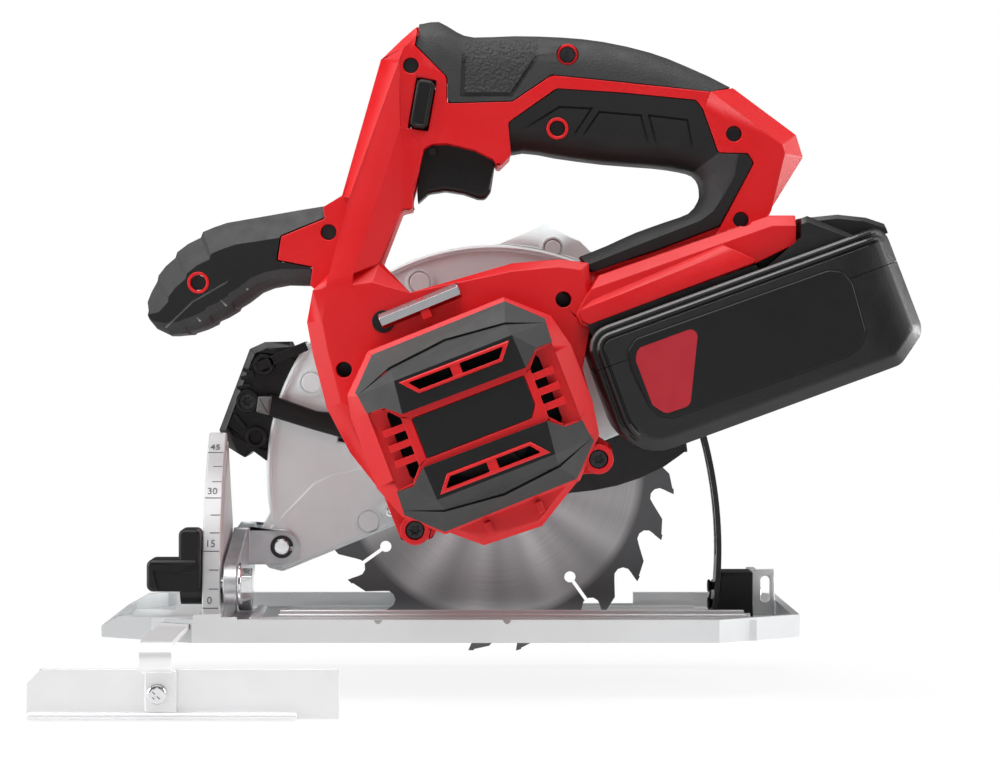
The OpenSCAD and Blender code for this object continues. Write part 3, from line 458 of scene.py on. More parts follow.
# %% Rods, blocks and places
def rod(start, end, radius, sides=32, end_radius=None):
    """Round bar between two points in millimetres."""
    a, b = Vector(start) * MM, Vector(end) * MM
    shape = bmesh.new()
    turn = (b - a).to_track_quat("Z", "Y").to_matrix().to_4x4()
    bmesh.ops.create_cone(shape, cap_ends=True, segments=sides, radius1=radius * MM,
        radius2=(radius if end_radius is None else end_radius) * MM, depth=(b - a).length,
        matrix=Matrix.Translation((a + b) / 2) @ turn)
    bmesh.ops.recalc_face_normals(shape, faces=shape.faces[:])
    return shape


def pin(x, z, near, far, radius, sides=32, end_radius=None):
    """Round bar along Y."""
    return rod((x, near, z), (x, far, z), radius, sides, end_radius)


def tube(x, z, near, far, inner, outer):
    """Round bar along Y with a hole through it."""
    return cut(pin(x, z, near, far, outer, 40), pin(x, z, near - 5, far + 5, inner, 40))


def swing(shape, degrees, axis="Y", about=(0, 0, 0)):
    """Turns a shape about a line through a point in millimetres."""
    bmesh.ops.rotate(shape, cent=Vector(about) * MM, verts=shape.verts,
        matrix=Matrix.Rotation(math.radians(degrees), 3, axis))
    return shape


def block(low, high, turn=0.0, about=(0, 0, 0)):
    """Box between two corners in millimetres, turned about a line along Y."""
    shape = bmesh.new()
    bmesh.ops.create_cube(shape, size=1.0)
    size = [(b - a) * MM for a, b in zip(low, high)]
    middle = [(a + b) / 2 * MM for a, b in zip(low, high)]
    bmesh.ops.scale(shape, vec=size, verts=shape.verts)
    bmesh.ops.translate(shape, vec=middle, verts=shape.verts)
    return swing(shape, -turn, about=about)


def place(shape, turn, x, z):
    """Turns a shape drawn about the origin and carries it to (x, z)."""
    swing(shape, -turn)
    bmesh.ops.translate(shape, vec=(x * MM, 0, z * MM), verts=shape.verts)
    return shape


def bar_along(start, end, width, near, far, past=0.0):
    """Bar from one X-Z point to another, and a little past it."""
    (x0, z0), (x1, z1) = start, end
    length = math.hypot(x1 - x0, z1 - z0)
    bar = block((-past, near, -width / 2), (length + past, far, width / 2))
    return place(bar, math.degrees(math.atan2(z1 - z0, x1 - x0)), x0, z0)


def groove(path, width, near, far):
    """Thin bars end to end along a path of X-Z points, for cutting a line."""
    return join(*[bar_along(start, end, width, near, far, width / 2)
        for start, end in zip(path, path[1:])])


def half(shape, side, seam):
    """Keeps the part of a shape on one side of the plane Y = seam: -1 near, 1 far."""
    low, high = (-200, seam) if side < 0 else (seam, 200)
    return combine(shape, block((-400, low, -400), (400, high, 400)), "INTERSECT")


print("rods and blocks ready")

# %% [markdown]
# Rounded things are lofts: rings of points, each bridged to the next. A faceted front has no
# operator of its own, so it is given by named corner points, and its walls and back are pulled
# from its border.

# %% Lofts and skins
def split(shape, point, way):
    """Parts the faces that a plane crosses and leaves the shape closed."""
    bmesh.ops.bisect_plane(shape, geom=shape.verts[:] + shape.edges[:] + shape.faces[:],
        dist=1e-7, plane_co=point, plane_no=way)


def loft(rings):
    """Closed skin over rings of points in millimetres, all rings with the same count."""
    shape = bmesh.new()
    loops = []
    for ring in rings:
        verts = [shape.verts.new(Vector(point) * MM) for point in ring]
        loops.append((verts, [shape.edges.new(pair)
            for pair in zip(verts, verts[1:] + verts[:1])]))
    for (_, first), (_, second) in zip(loops, loops[1:]):
        bmesh.ops.bridge_loops(shape, edges=first + second)
    for verts, _ in (loops[0], loops[-1]):
        shape.faces.new(verts)
    bmesh.ops.recalc_face_normals(shape, faces=shape.faces[:])
    return shape


def spread(points, steps):
    """Points on a smooth curve through the given ones."""
    curve = []
    for i in range(len(points) - 1):
        a, b, c, d = (Vector(points[min(max(k, 0), len(points) - 1)])
            for k in (i - 1, i, i + 1, i + 2))
        for step in range(steps):
            t = step / steps
            curve.append(0.5 * (2 * b + (c - a) * t + (2 * a - 5 * b + 4 * c - d) * t * t +
                (3 * b - a - 3 * c + d) * t ** 3))
    return curve + [Vector(points[-1])]


def skin(corners, faces, back):
    """Closed solid from a faceted front: its border is walled down to a flat back."""
    shape = bmesh.new()
    verts = {key: shape.verts.new(Vector(p) * MM) for key, p in corners.items()}
    for face in faces:
        shape.faces.new([verts[key] for key in face.split()])
    border = [e for e in shape.edges if len(e.link_faces) == 1]
    pulled = bmesh.ops.extrude_edge_only(shape, edges=border)["geom"]
    for vert in pulled:
        if isinstance(vert, bmesh.types.BMVert):
            vert.co.y = back * MM
    loop = [e for e in pulled if isinstance(e, bmesh.types.BMEdge)
        and all(abs(v.co.y - back * MM) < TINY for v in e.verts)]
    bmesh.ops.contextual_create(shape, geom=loop)
    bmesh.ops.recalc_face_normals(shape, faces=shape.faces[:])
    return shape


print("loft and skin tools ready")

# %% [markdown]
# The last tool turns a shape into a piece. It gives the longer edges a small soft break, since
# no moulded edge is a razor, shades curved places smooth and flat places flat, hangs the piece
# on its body and hides the CAD nodes that it stands for. Very short edges, and edges that meet at
# a needle's point, stay sharp, because a break there would stick out as a spike.

# %% A finished piece
SHORTEST_BREAK = 0.08 * MM
NEEDLE = 0.75  # radians: edges that meet at less than this stay sharp


def edges_to_break(shape, bend, soft):
    """Marks the edges that get a soft break, and makes the other bent ones sharp."""
    weight = shape.edges.layers.float.new("bevel_weight_edge")
    bent = {e for e in shape.edges if len(e.link_faces) == 2 and e.calc_face_angle(0) > bend}
    chosen = {e for e in bent if e.calc_length() > SHORTEST_BREAK} if soft else set()
    for vert in shape.verts:
        around = [e for e in vert.link_edges if e in chosen]
        if len(around) > 2:
            chosen.difference_update(e for e in around if e.calc_length() < 3 * soft * MM)
        ways = [e.other_vert(vert).co - vert.co for e in around]
        if any(a.angle(b) < NEEDLE for i, a in enumerate(ways) for b in ways[:i]):
            chosen.difference_update(around)
    for edge in bent:
        edge.smooth = edge in chosen
        edge[weight] = 1.0 if edge in chosen else 0.0


def new_piece(name, shape, finish, body, stands_for=(), soft=0.35, smooth=24, zones=()):
    """Soft is the width of the edge break, in millimetres. Zones are (finish, test) pairs:
    faces that pass the test get that finish instead."""
    bmesh.ops.remove_doubles(shape, verts=shape.verts[:], dist=2 * WELD)
    bmesh.ops.dissolve_degenerate(shape, edges=shape.edges[:], dist=2 * WELD)
    bmesh.ops.connect_verts_concave(shape, faces=shape.faces[:])
    bmesh.ops.recalc_face_normals(shape, faces=shape.faces[:])
    for face in shape.faces:
        face.smooth = True
        face.material_index = 0
        for slot, (_, test) in enumerate(zones, 1):
            if test(face.calc_center_median() / MM, face.normal):
                face.material_index = slot
    edges_to_break(shape, math.radians(smooth), soft)
    mesh = bpy.data.meshes.new(name)
    shape.to_mesh(mesh)
    shape.free()
    for kind in [finish] + [zone[0] for zone in zones]:
        mesh.materials.append(kind.mat)
    piece = bpy.data.objects.new(name, mesh)
    bpy.context.scene.collection.objects.link(piece)
    if soft:
        edge_break = piece.modifiers.new("edge_break", "BEVEL")
        edge_break.width, edge_break.segments = soft * MM, 2
        edge_break.limit_method = "WEIGHT"
        edge_break.use_clamp_overlap = False
    even = piece.modifiers.new("even_shading", "WEIGHTED_NORMAL")
    even.keep_sharp = True
    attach(piece, body)
    if stands_for:
        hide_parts(*stands_for)
    print(name, len(mesh.polygons), "faces")
    return piece


print("piece tool ready")

# %% [markdown]
# ## Housing
# The housing is moulded in two halves that meet on a seam at Y = -72 mm. Red plastic shows on
# the column, the band along the handle, the tail, the motor body and the battery rails.
# A plate makes each zone, with broad flat chamfers where the real one is faceted.

# %% Outlines of the housing
seam = -72.0
grip_near, grip_far = -91.0, -53.0
sides = ((-1, "left"), (1, "right"))
motor_bore = (-5.6, 82.4)
bore_radius = 22.9
button_x, button_z, button_lean = -27.7, 204.8, 10
frame_outline = [(-28, 236.5), (-30.6, 227.4), (-18.4, 215.2), (-18.4, 205.2), (6.7, 205.9),
    (21.7, 216), (48.3, 213.3), (82.2, 209.6), (91.5, 211.6), (115.7, 193.6), (118.4, 185),
    (105.7, 164.5), (100, 152), (84, 154), (86, 158.1), (98.9, 182.4), (96.6, 186.1),
    (85.4, 186.4), (79.5, 202.9), (76.9, 206.5), (48.3, 209.3), (23.6, 210.9), (5.1, 197.9),
    (6.2, 185.3), (1.2, 180.4), (-0.5, 183.8), (-7.7, 187.4), (-17.9, 189.9), (-24, 189.7),
    (-27.1, 187.9), (-30.2, 174), (-31.6, 169), (-31.6, 164.8), (-35.6, 164), (-43.5, 143.5),
    (-46, 130), (-64, 130), (-70.5, 135.6), (-69.7, 142.8), (-83, 145.4), (-81.6, 154.3),
    (-64.9, 161.2), (-65.6, 165.6), (-58.3, 170), (-43.6, 222.7)]
body_outline = [(-44, 144.9), (-32.2, 132.7), (6.3, 143.8), (24, 145.4), (35.4, 144), (37, 124),
    (33, 104), (37, 90), (38, 79), (44, 75), (44.5, 68), (39, 64.5), (31, 64), (16, 55),
    (-18, 50), (-24, 39.5), (-35.5, 39), (-42, 56), (-55, 72), (-63.9, 89), (-69.2, 109.6),
    (-71.4, 121.4), (-68.9, 133.5), (-62, 141)]
upper_rail = [(30.5, 124), (33.1, 129), (39.1, 139.2), (103.8, 161.9), (113.4, 161.9),
    (113.4, 151.1), (99, 144), (44, 121.8), (33, 119)]
web_outline = [(34, 139.6), (60, 148.4), (86, 158.2), (100, 158), (104, 150), (60, 133),
    (36, 127)]
lower_rail = [(32.2, 126), (36.7, 129.6), (85.8, 150.5), (99, 144.4), (35.5, 120.6),
    (32.4, 122)]
screw_holes = [(-32.1, 219.7), (-57.1, 103.6), (91.3, 193.6), (94, 160.7), (25.8, 130.1),
    (-63.5, 156)]
print("housing outlines:", len(frame_outline) + len(body_outline), "points")

# %% [markdown]
# The handle frame has a broad chamfer down the front of the column and round the tail. The
# column swells towards the motor body: its lower half is a faceted skin that leans out from
# the handle's plane to the body's, with the front chamfer running on as a band.

# %% Housing solids
frame_chamfers = (
    (8.5, lambda x, z: x < -45 and z > 180),
    (3.0, lambda x, z: x < -30 and z > 223),
    (7.0, lambda x, z: x > 92 and z > 163 and x + 0.75 * z > 233))
body_chamfers = (
    (7.5, lambda x, z: -61 < x < -32 and z > 132.5),
    (3.0, lambda x, z: z > 132.7 and x > -32),
    (6.0, lambda x, z: x < -55))
column_corners = {
    "a": (-43.7, -84.5, 222.5), "b": (-36.6, -91.1, 221.4), "d": (-36.2, -91.6, 196.4),
    "e": (-28.4, -91.1, 190.5), "f": (-31.3, -91.3, 169.4), "g": (-31.3, -91.3, 165.0),
    "h": (-35.6, -92.0, 164.7), "i": (-44.1, -98.0, 143.8), "j": (-53.6, -104.0, 139.9),
    "k": (-63.7, -104.0, 136.6), "l": (-55.4, -96.5, 169.0), "m": (-58.6, -89.0, 169.6),
    "n": (-54.0, -104.0, 131), "o": (-64.0, -104.0, 131),
}
column_faces = ["a b l", "a l m", "b d j k l", "d e f", "d f h", "f g h", "d h i j", "k j n o"]


def housing(side):
    """One half of the red housing, made whole and cut at the seam."""
    frame_plate = plate(frame_outline, grip_near, grip_far, 1.6,
        lambda x, z: z > 222 and x < -28 or x < -55 or x > 90 and z > 163)
    for depth in (grip_near, grip_far):
        for width, where in frame_chamfers:
            break_rim(frame_plate, depth, width, where=where)
    ramp = skin(column_corners, column_faces, -75)
    body = plate(body_outline, -104, grip_far, 2.0, lambda x, z: z > 131 or x < -54)
    for width, where in body_chamfers:
        break_rim(body, -104, width, where=where)
    upper = plate(upper_rail, -107, -50, 1.5, lambda x, z: z > 123 + 0.33 * x)
    break_rim(upper, -107, 4.0, where=lambda x, z: z > 126 + 0.33 * x)
    lower = plate(lower_rail, -111.5, -49, 1.2, lambda x, z: z > 113 + 0.36 * x)
    break_rim(lower, -111.5, 3.0, where=lambda x, z: z > 115.5 + 0.36 * x)
    web = plate(web_outline, grip_near + 1.5, grip_far - 1.5, 0)
    whole = join(frame_plate, ramp, body, upper, lower, web)
    holes = gather(*[pin(x, z, -115, -76, 3.0) for x, z in screw_holes])
    button_slot = block((-31.6, -100, 195), (-23.8, -50, 214.6), -button_lean,
        (button_x, 0, button_z))
    bore = pin(*motor_bore, -120, -50, bore_radius, 64)
    return half(cut(whole, holes, bore, button_slot), side, seam)


for side, word in sides:
    new_piece("housing_" + word, housing(side), red_plastic, "head",
        ["handle_shell_" + word])

# %% [markdown]
# ## Handle rubber
# Soft rubber is moulded over the housing on the top of the handle and under it. The handle is
# made once as a full bar, lofted over rounded cross-sections that run from the column, along
# the grip and down round the tail. Each rubber zone is the part of that bar inside its outline.

# %% The rounded handle
handle_top = [(-34, 236.3), (-28, 236.5), (-21.5, 237.3), (-14.5, 233.3), (-8, 231.3),
    (7.5, 231.8), (25.6, 231.3), (41.8, 229.6), (59.7, 225.5), (73.6, 220.2), (91.5, 211.6),
    (107, 200), (114, 188), (112, 174), (106, 160), (97, 146), (84, 137), (66, 129), (48, 123)]
handle_under = [(-34, 183), (-26, 183), (-19, 183), (-11, 183), (-3, 184.6), (11, 187.6),
    (23.3, 185.7), (42, 183.2), (61.7, 181.7), (72, 180.2), (77, 178.6), (79.3, 175.6),
    (79.9, 172), (79.4, 168.8), (75.4, 163.8), (66, 160.3), (54, 156), (43, 151), (33, 147)]
top_zone = [(-30.3, 227.7), (-28, 242), (92, 242), (91.4, 212), (82.2, 209.9), (48.3, 213.6),
    (21.6, 216.3), (6.6, 206.2), (-18.1, 205.5), (-18.1, 215.3)]
under_zone = [(5.4, 197.8), (23.8, 210.6), (48.3, 209), (76.7, 206.2), (79.2, 202.7),
    (85.1, 186.1), (96.4, 185.8), (98.5, 182.3), (85.7, 158.4), (65.6, 150.6), (37.8, 140.8),
    (31.6, 143.6), (33, 151), (70, 170), (70, 175), (6.5, 175)]
ring_holes = [(27.8, 224), (23.9, 195.6), (-113.3, 136.7)]
ring_hole_radius = 4.3


def section(top, under, profile):
    """Ring across a handle: the profile gives distance down from the top, and half width."""
    top, under = Vector((top[0], 0, top[1])), Vector((under[0], 0, under[1]))
    tall = (under - top).length
    down = (under - top) / tall
    middle = (grip_near + grip_far) / 2
    near, far = [], []
    for fall, wide in profile(tall):
        point = top + down * fall
        near.append((point.x, middle - wide, point.z))
        far.append((point.x, middle + wide, point.z))
    return near + far[::-1]


def oval(tall):
    """Rounded rectangle, its corners rounded 14 mm down and 10 mm across."""
    down, across, side = min(14.0, tall * 0.45), 10.0, (grip_far - grip_near) / 2
    arc = [math.radians(a) for a in (0, 15, 30, 45, 60, 75, 90)]
    upper = [(down * (1 - math.cos(a)), side - across + across * math.sin(a)) for a in arc]
    return upper + [(tall - fall, wide) for fall, wide in reversed(upper)]


def handle_solid():
    return loft([section(t, u, oval)
        for t, u in zip(spread(handle_top, 2), spread(handle_under, 2))])


print("handle bar ready")

# %% [markdown]
# The top rubber has a stippled panel for the web of the hand, with a smooth groove round it.
# The lower rubber has raised finger panels parted by double grooves, which are cut a
# millimetre deep. Screw holes come through both, each in a red plastic ring. A flat darker
# band runs round the loop that closes the handle: a plate half a millimetre proud, joined on.

# %% Top and lower rubber
panel_line = [(-10.6, 240), (-11.9, 221), (-12.5, 208.6), (6.3, 208.6), (18.8, 227), (21.5, 240)]
finger_lines = [[(11, 192.6), (10.6, 195.2), (24.7, 203.8), (36.9, 203.2)],
    [(36.9, 203.2), (31.5, 195), (25.3, 185.2)],
    [(39.9, 201.9), (34.4, 194), (28.3, 184.6)],
    [(39.9, 201.9), (55.7, 200.6), (58.2, 191), (60.6, 181.6)],
    [(58.8, 200.6), (61.3, 191), (63.5, 181.6)],
    [(58.8, 200.6), (73.4, 198.8), (77, 179.7)]]


def rubber_half(zone, side, lines, line_width):
    """One side of a zone, with lines cut a millimetre deep and two screw holes."""
    prism = plate(zone, grip_near - 5, grip_far + 5, 2.0)
    rubber_shell = half(combine(handle_solid(), prism, "INTERSECT"), side, seam)
    near = grip_near - 3 if side < 0 else grip_far - 1
    outer = grip_near if side < 0 else grip_far
    return cut(rubber_shell, *[groove(path, line_width, near, near + 4) for path in lines],
        *[pin(x, z, outer - 12, outer + 12, ring_hole_radius) for x, z in ring_holes[:2]])


loop_start, loop_way = Vector((80.6, 0, 182.6)), Vector((7.2, 0, -9.5)).normalized()
loop_band = [(93, 185.6), (96.2, 185.6), (98.1, 182.3), (85.5, 158.7), (65.5, 151), (37.9, 141.2),
    (34.2, 143), (57, 152), (78.6, 160.4), (83.2, 163.8), (87.6, 170.3), (91.5, 177.4)]


def under_hand(spot, normal):
    """The finger side, and the flat band round the loop that closes the handle."""
    below_top = spot.z < min(202 + (spot.x - 6) * 0.7, 213.6 - 0.076 * (spot.x - 23))
    on_loop = (spot - loop_start).dot(loop_way) > 0 or spot.z < 165
    on_band = abs(spot.y - seam) > 19.2
    return below_top and spot.x > 4 and (on_band or not on_loop)


def stippled(spot, normal):
    """Inside the panel line, on either side of the handle."""
    return (208.9 < spot.z < 230 and -12 < spot.x < 6.5 + (spot.z - 208.6) * 0.68 and
        abs(normal.y) > 0.3)


for side, word in sides:
    top = rubber_half(top_zone, side, [panel_line], 1.6)
    near, far = (grip_near - 0.5, grip_near + 4) if side < 0 else (grip_far - 4, grip_far + 0.5)
    under = join(rubber_half(under_zone, side, finger_lines, 0.8),
        plate(loop_band, near, far, 0))
    split(under, loop_start * MM, loop_way)
    new_piece("grip_rubber_" + word + "_skin", gather(top, under), rubber, "head",
        ["grip_rubber_" + word], soft=0, zones=[(dark_rubber, under_hand),
        (stipple_rubber, stippled)])

# %% [markdown]
# The red rings are the ends of the housing's screw tubes, flush with the rubber. They could
# be part of the housing, but as one small piece they keep the housing's cuts few.

# %% Rings round the screw holes
rings = gather(*[tube(x, z, near, near + 11, 3.0, 4.2)
    for (x, z), near in zip(ring_holes, (-87.8, -91.2, -91.2))])
new_piece("screw_rings", rings, red_plastic, "head", soft=0.3)

# %% [markdown]
# ## Front handle
# The front handle's rubber has a flat slanting top, three overlapping scales at its nose and
# finger grooves underneath. It is a loft too: a section with a broad slant each side, and
# pairs of sections close together where one scale steps down under the next. Its flat sides
# are darker, and the floors of the creases cut in them are painted pale: a painted highlight.

# %% Front handle rubber
front_top = [(-60, 167.2), (-75, 164.8), (-86.9, 162.7), (-95, 161.3), (-103, 159.9),
    (-108, 158.2), (-112.3, 156.4), (-113.1, 154.2), (-118, 151.8), (-122.2, 148.6),
    (-122.9, 146.4), (-126.6, 143.2), (-129.4, 139.6), (-129.8, 137.4), (-132.2, 133),
    (-133.6, 129.4), (-133.2, 126)]
front_under = [(-60, 136), (-71.8, 135.9), (-80, 136.1), (-86, 135), (-90.5, 133.2),
    (-95.4, 129.4), (-99, 127.2), (-99.6, 126), (-103.6, 123.6), (-107.2, 122),
    (-107.8, 120.8), (-112, 118.8), (-116.4, 117.4), (-117, 116.8), (-123.6, 116.2),
    (-129.2, 119), (-131.8, 122.4)]


def slanted(tall):
    side = (grip_far - grip_near) / 2
    slant, low = min(9.5, tall * 0.45), min(6.0, tall * 0.3)
    arc = [math.radians(a) for a in (90, 60, 30, 0)]
    return [(0, side - 9.5), (slant, side)] + [(tall - low + low * math.cos(a),
        side - low + low * math.sin(a)) for a in arc]


column_cut = [(-50, 130), (-70.2, 130), (-70.2, 142.5), (-83.6, 145), (-82.0, 154.8),
    (-65.4, 161.8), (-61, 163.4), (-50, 180)]
crease_depth, crease_width = 0.8, 0.7
finger_cuts = [[(-94.6, 134.2), (-89.6, 129.0)], [(-104.6, 129.8), (-97.4, 122.8)],
    [(-113.8, 123.2), (-107.4, 116.8)]]
crease = [(-125.6, 119.6), (-115.6, 129.2), (-102.2, 137.0)]


def on_flat(spot, normal):
    return abs(normal.y) > 0.97


def crease_floor_highlight(spot, normal):
    """The floor of a crease, painted pale: a painted highlight."""
    floor_depth = (grip_far - grip_near) / 2 - crease_depth
    return on_flat(spot, normal) and abs(abs(spot.y - seam) - floor_depth) < 0.05


def front_handle(side):
    handle = loft([section(t, u, slanted) for t, u in zip(front_top, front_under)])
    handle = cut(handle, plate(column_cut, grip_near - 5, grip_far + 5, 1.0))
    for path in finger_cuts + [crease]:
        handle = cut(handle,
            groove(path, crease_width, grip_near - 4, grip_near + crease_depth),
            groove(path, crease_width, grip_far - crease_depth, grip_far + 4))
    hole = pin(*ring_holes[2], grip_near - 4, grip_far + 4, ring_hole_radius)
    return half(cut(handle, hole), side, seam)


for side, word in sides:
    new_piece("front_grip_" + word + "_skin", front_handle(side), rubber, "head",
        ["front_grip_" + word], soft=0, smooth=16,
        zones=[(dark_rubber, on_flat), (pale_rubber, crease_floor_highlight)])

# %% [markdown]
# ## Motor cap
# The cap over the motor is a faceted dome of red plastic, turned 21 degrees. Its long sides
# slope to the rim, two pockets with fins let cooling air in, and two slanted vents open
# through the rubber panels. It is drawn upright about its own middle and then turned.

# %% Red dome of the cap
cap_turn, cap_x, cap_z = 21.0, -7.8, 86.3
cap_rim = [(-41.5, 24.5), (-28.5, 37), (26, 37.7), (40, 25), (43.2, 12), (43.2, -10), (41, -23),
    (28, -36.5), (-26, -37.2), (-38.5, -25.5), (-43.6, -12), (-43.2, 16)]
cap_room = [(-30, 12), (-22, 24), (22, 24), (30, 12), (30, -12), (22, -24), (-22, -24), (-30, -12)]
pocket = [(25.5, 9.5), (30, 14.5), (36.5, 15.5), (36.5, -15.5), (30, -14.5), (25.5, -9.5)]
label_shape = [(-22, 8), (22.6, 8), (22.6, -3.6), (19.6, -8), (-22, -8)]
vent = [(-21.5, 22), (22, 22), (17, 15.6), (-16, 15.6)]
vent_hole = [(-18.2, 20.7), (19.2, 20.7), (16.2, 16.9), (-15.2, 16.9)]
near_face = -131.5
air_slots = [(-9.2, -7.3), (-4.7, -1.3), (1.3, 4.7), (7.3, 9.2)]
cap_bumps = [(-2.1, 44.6), (16.7, 52.2)]
cap_lugs = [(38.5, 70.3), (-30, 43.8)]


def on_cap(spot):
    """A place on the saw, in the cap's own upright frame."""
    turn = math.radians(cap_turn)
    x, z = spot.x - cap_x, spot.z - cap_z
    return (x * math.cos(turn) + z * math.sin(turn), z * math.cos(turn) - x * math.sin(turn))


# The dome's hollow and the walls of its air slots are painted black: painted shade in a part that
# is red all through.
def cap_hollow_shade(spot, normal):
    u, v = on_cap(spot)
    return abs(u) < 30.5 and abs(v) < 24.5 and spot.y > -129.3 and abs(normal.y) < 2


def half_turn(shape, way):
    """A shape for the other end of the cap, when way is below zero."""
    return shape if way > 0 else place(shape, 180, 0, 0)


def both_ends(outline):
    """An outline and the same one after half a turn."""
    return outline, [(-x, -z) for x, z in outline]


def set_cap(shape):
    return place(shape, cap_turn, cap_x, cap_z)


dome = plate(cap_rim, near_face, -102, 0)
break_rim(dome, near_face, 12.8)
lower_skirt = plate([(-26, -36), (-14, -46.5), (9, -47.5), (30, -35), (24, -30), (-22, -30)],
    -116, -102, 0)
dome = join(dome, break_rim(lower_skirt, -116, 2.5))
dome = cut(dome, *[plate(outline, -140, -124.6, 0.8) for outline in both_ends(pocket)])
for way in (-1, 1):
    dome = join(dome, *[half_turn(block((25.0, near_face + 0.6, v - 1.35),
        (33.5, -123, v + 1.35)), way) for v in (-6, 0, 6)])
    dome = cut(dome, *[half_turn(block((26.2, -126, low), (29.6, -100, high)), way)
        for low, high in air_slots])
dome = cut(dome, *[plate(outline, -140, -120, 0.4) for outline in both_ends(vent_hole)],
    plate(label_shape, -140, near_face + 0.8, 0.6), plate(cap_room, -129.2, -95, 0))
dome = join(set_cap(dome), *[place(block((-1.1, -119.6, -1.8), (1.1, -112, 2.6)), cap_turn,
    x, z) for x, z in cap_bumps])
for x, z in cap_lugs:
    dome = cut(join(dome, pin(x, z, -117.5, -102, 5.6, 40)), pin(x, z, -125, -113.5, 3.6, 40))
new_piece("cap_dome", dome, red_plastic, "head", ["motor_cap"], soft=0.3,
    zones=[(black_plastic, cap_hollow_shade)])

# %% [markdown]
# Rubber panels cover the dome above and below the label. Each is a faceted skin: sloping
# facets outside, a thin dark step that arches across, a second tier, and a flat middle. The
# second panel is the first one after half a turn.

# %% Rubber panels of the cap
panel_corners = {
    "a1": (-38.4, -122.0, 24.1), "a2": (-27.4, -121.4, 35.2), "a3": (25.8, -121.4, 36.1),
    "a4": (37.6, -122.0, 24.7), "b1": (-37.8, -123.6, 23.0), "b4": (37.3, -123.6, 23.1),
    "s2": (-22.9, -129.4, 28.6), "sm": (0, -129.8, 31.0), "s3": (23.0, -129.4, 28.7),
    "g2": (-22.8, -128.2, 27.9), "gm": (0, -128.6, 30.3), "g3": (22.9, -128.2, 28.1),
    "t2": (-22.7, -131.4, 27.2), "tm": (0, -131.6, 29.6), "t3": (22.7, -131.4, 27.5),
    "l1": (-22.9, -134.2, 23.2), "l2": (23.7, -134.2, 23.4), "l3": (24.2, -134.2, 10.4),
    "l0": (-24.4, -134.2, 10.7), "c5": (-36.8, -126.6, 15.4), "c6": (-30.2, -132.2, 15.4),
    "d5": (36.8, -126.6, 15.6), "d6": (30.4, -132.2, 15.8),
}
panel_faces = ["a2 a3 s3 sm s2", "a1 a2 s2 b1", "a3 a4 b4 s3", "s2 sm gm g2", "sm s3 g3 gm",
    "b1 s2 g2", "s3 b4 g3", "g2 gm tm t2", "gm g3 t3 tm", "b1 g2 t2", "g3 b4 t3",
    "t2 tm t3 l2 l1", "b1 t2 l1", "b1 l1 l0 c6", "b1 c6 c5", "t3 b4 l2", "b4 d6 l3 l2", "b4 d5 d6",
    "l1 l2 l3 l0"]


def cap_panel(way):
    whole = cut(skin(panel_corners, panel_faces, -116), plate(vent_hole, -140, -110, 0.4),
        plate(cap_room, -129.2, -95, 0))
    return set_cap(half_turn(whole, way))


def black_middle_and_vent_shade(spot, normal):
    """The flat middle, which is black, and the deep walls of the vents, painted black as shade."""
    return abs(normal.y) > 0.98 or spot.y > -129.5 and abs(normal.y) < 0.1


new_piece("cap_panels", gather(cap_panel(1), cap_panel(-1)), panel_rubber, "head",
    ["cap_rubber"], soft=0, smooth=12, zones=[(black_plastic, black_middle_and_vent_shade)])
# A black plate at the back of the cap's hollow: painted shade, so that the vents and pockets show
# dark.
hollow_shade_plate = cut(set_cap(plate(cap_room, -106.5, -104.2, 0)),
    pin(*motor_bore, -120, -90, bore_radius, 48))
new_piece("air_baffle", hollow_shade_plate, black_plastic, "head", soft=0)

# %% [markdown]
# A red frame edges each vent, with a bar across its middle, and a bare black label fills the
# recess between the panels. All are plates from the outlines that cut their openings, so they
# fit without measuring.

# %% Vent frames and label
def vent_frame(way):
    frame_ring = break_rim(plate(vent, -135.2, -128.5, 0), -135.2, 0.5)
    frame_ring = join(cut(frame_ring, plate(vent_hole, -140, -120, 0.4)),
        block((-1.9, -134.6, 16), (1.9, -129, 21.6)))
    return set_cap(half_turn(frame_ring, way))


new_piece("vent_frames", gather(vent_frame(1), vent_frame(-1)), red_plastic, "head", soft=0.25)
label = plate([(-21.7, 7.7), (22.3, 7.7), (22.3, -3.5), (19.4, -7.7), (-21.7, -7.7)],
    near_face + 0.1, near_face + 0.8, 0.6)
new_piece("bare_label", set_cap(label), black_plastic, "head", ["label_panel"], soft=0)

# %% [markdown]
# The cap's screws have black heads with a six-lobed socket, sunk in round lugs. Six thin pins
# round a thicker one give the socket's shape, which is then cut from the head.

# %% Cap screws
def socket_screw(x, z, face, tail):
    screw = join(pin(x, z, face, face + 2.2, 3.3, 36, 3.4), pin(x, z, face + 2, tail, 1.6, 24))
    lobes = pin(x, z, face - 1, face + 1.5, 1.25, 24)
    for k in range(6):
        a = math.radians(60 * k)
        lobes = join(lobes, pin(x + 1.35 * math.cos(a), z + 1.35 * math.sin(a), face - 1,
            face + 1.5, 0.5, 12))
    return cut(screw, lobes)


new_piece("cap_socket_screws", gather(*[socket_screw(x, z, -116.4, -95) for x, z in cap_lugs]),
    dark_steel, "head", ["cap_screws"], soft=0.15)

# %% [markdown]
# ## Battery
# The battery is a deep box drawn level in its own frame and turned 20 degrees with the rails.
# Two ridges run round the rim of its side, the bottom has a chamfer, and the outer end is
# broadly rounded. The rim is a loft of one rounded outline, moved in and out by a profile, and
# the end is rounded by narrowing the box towards it.

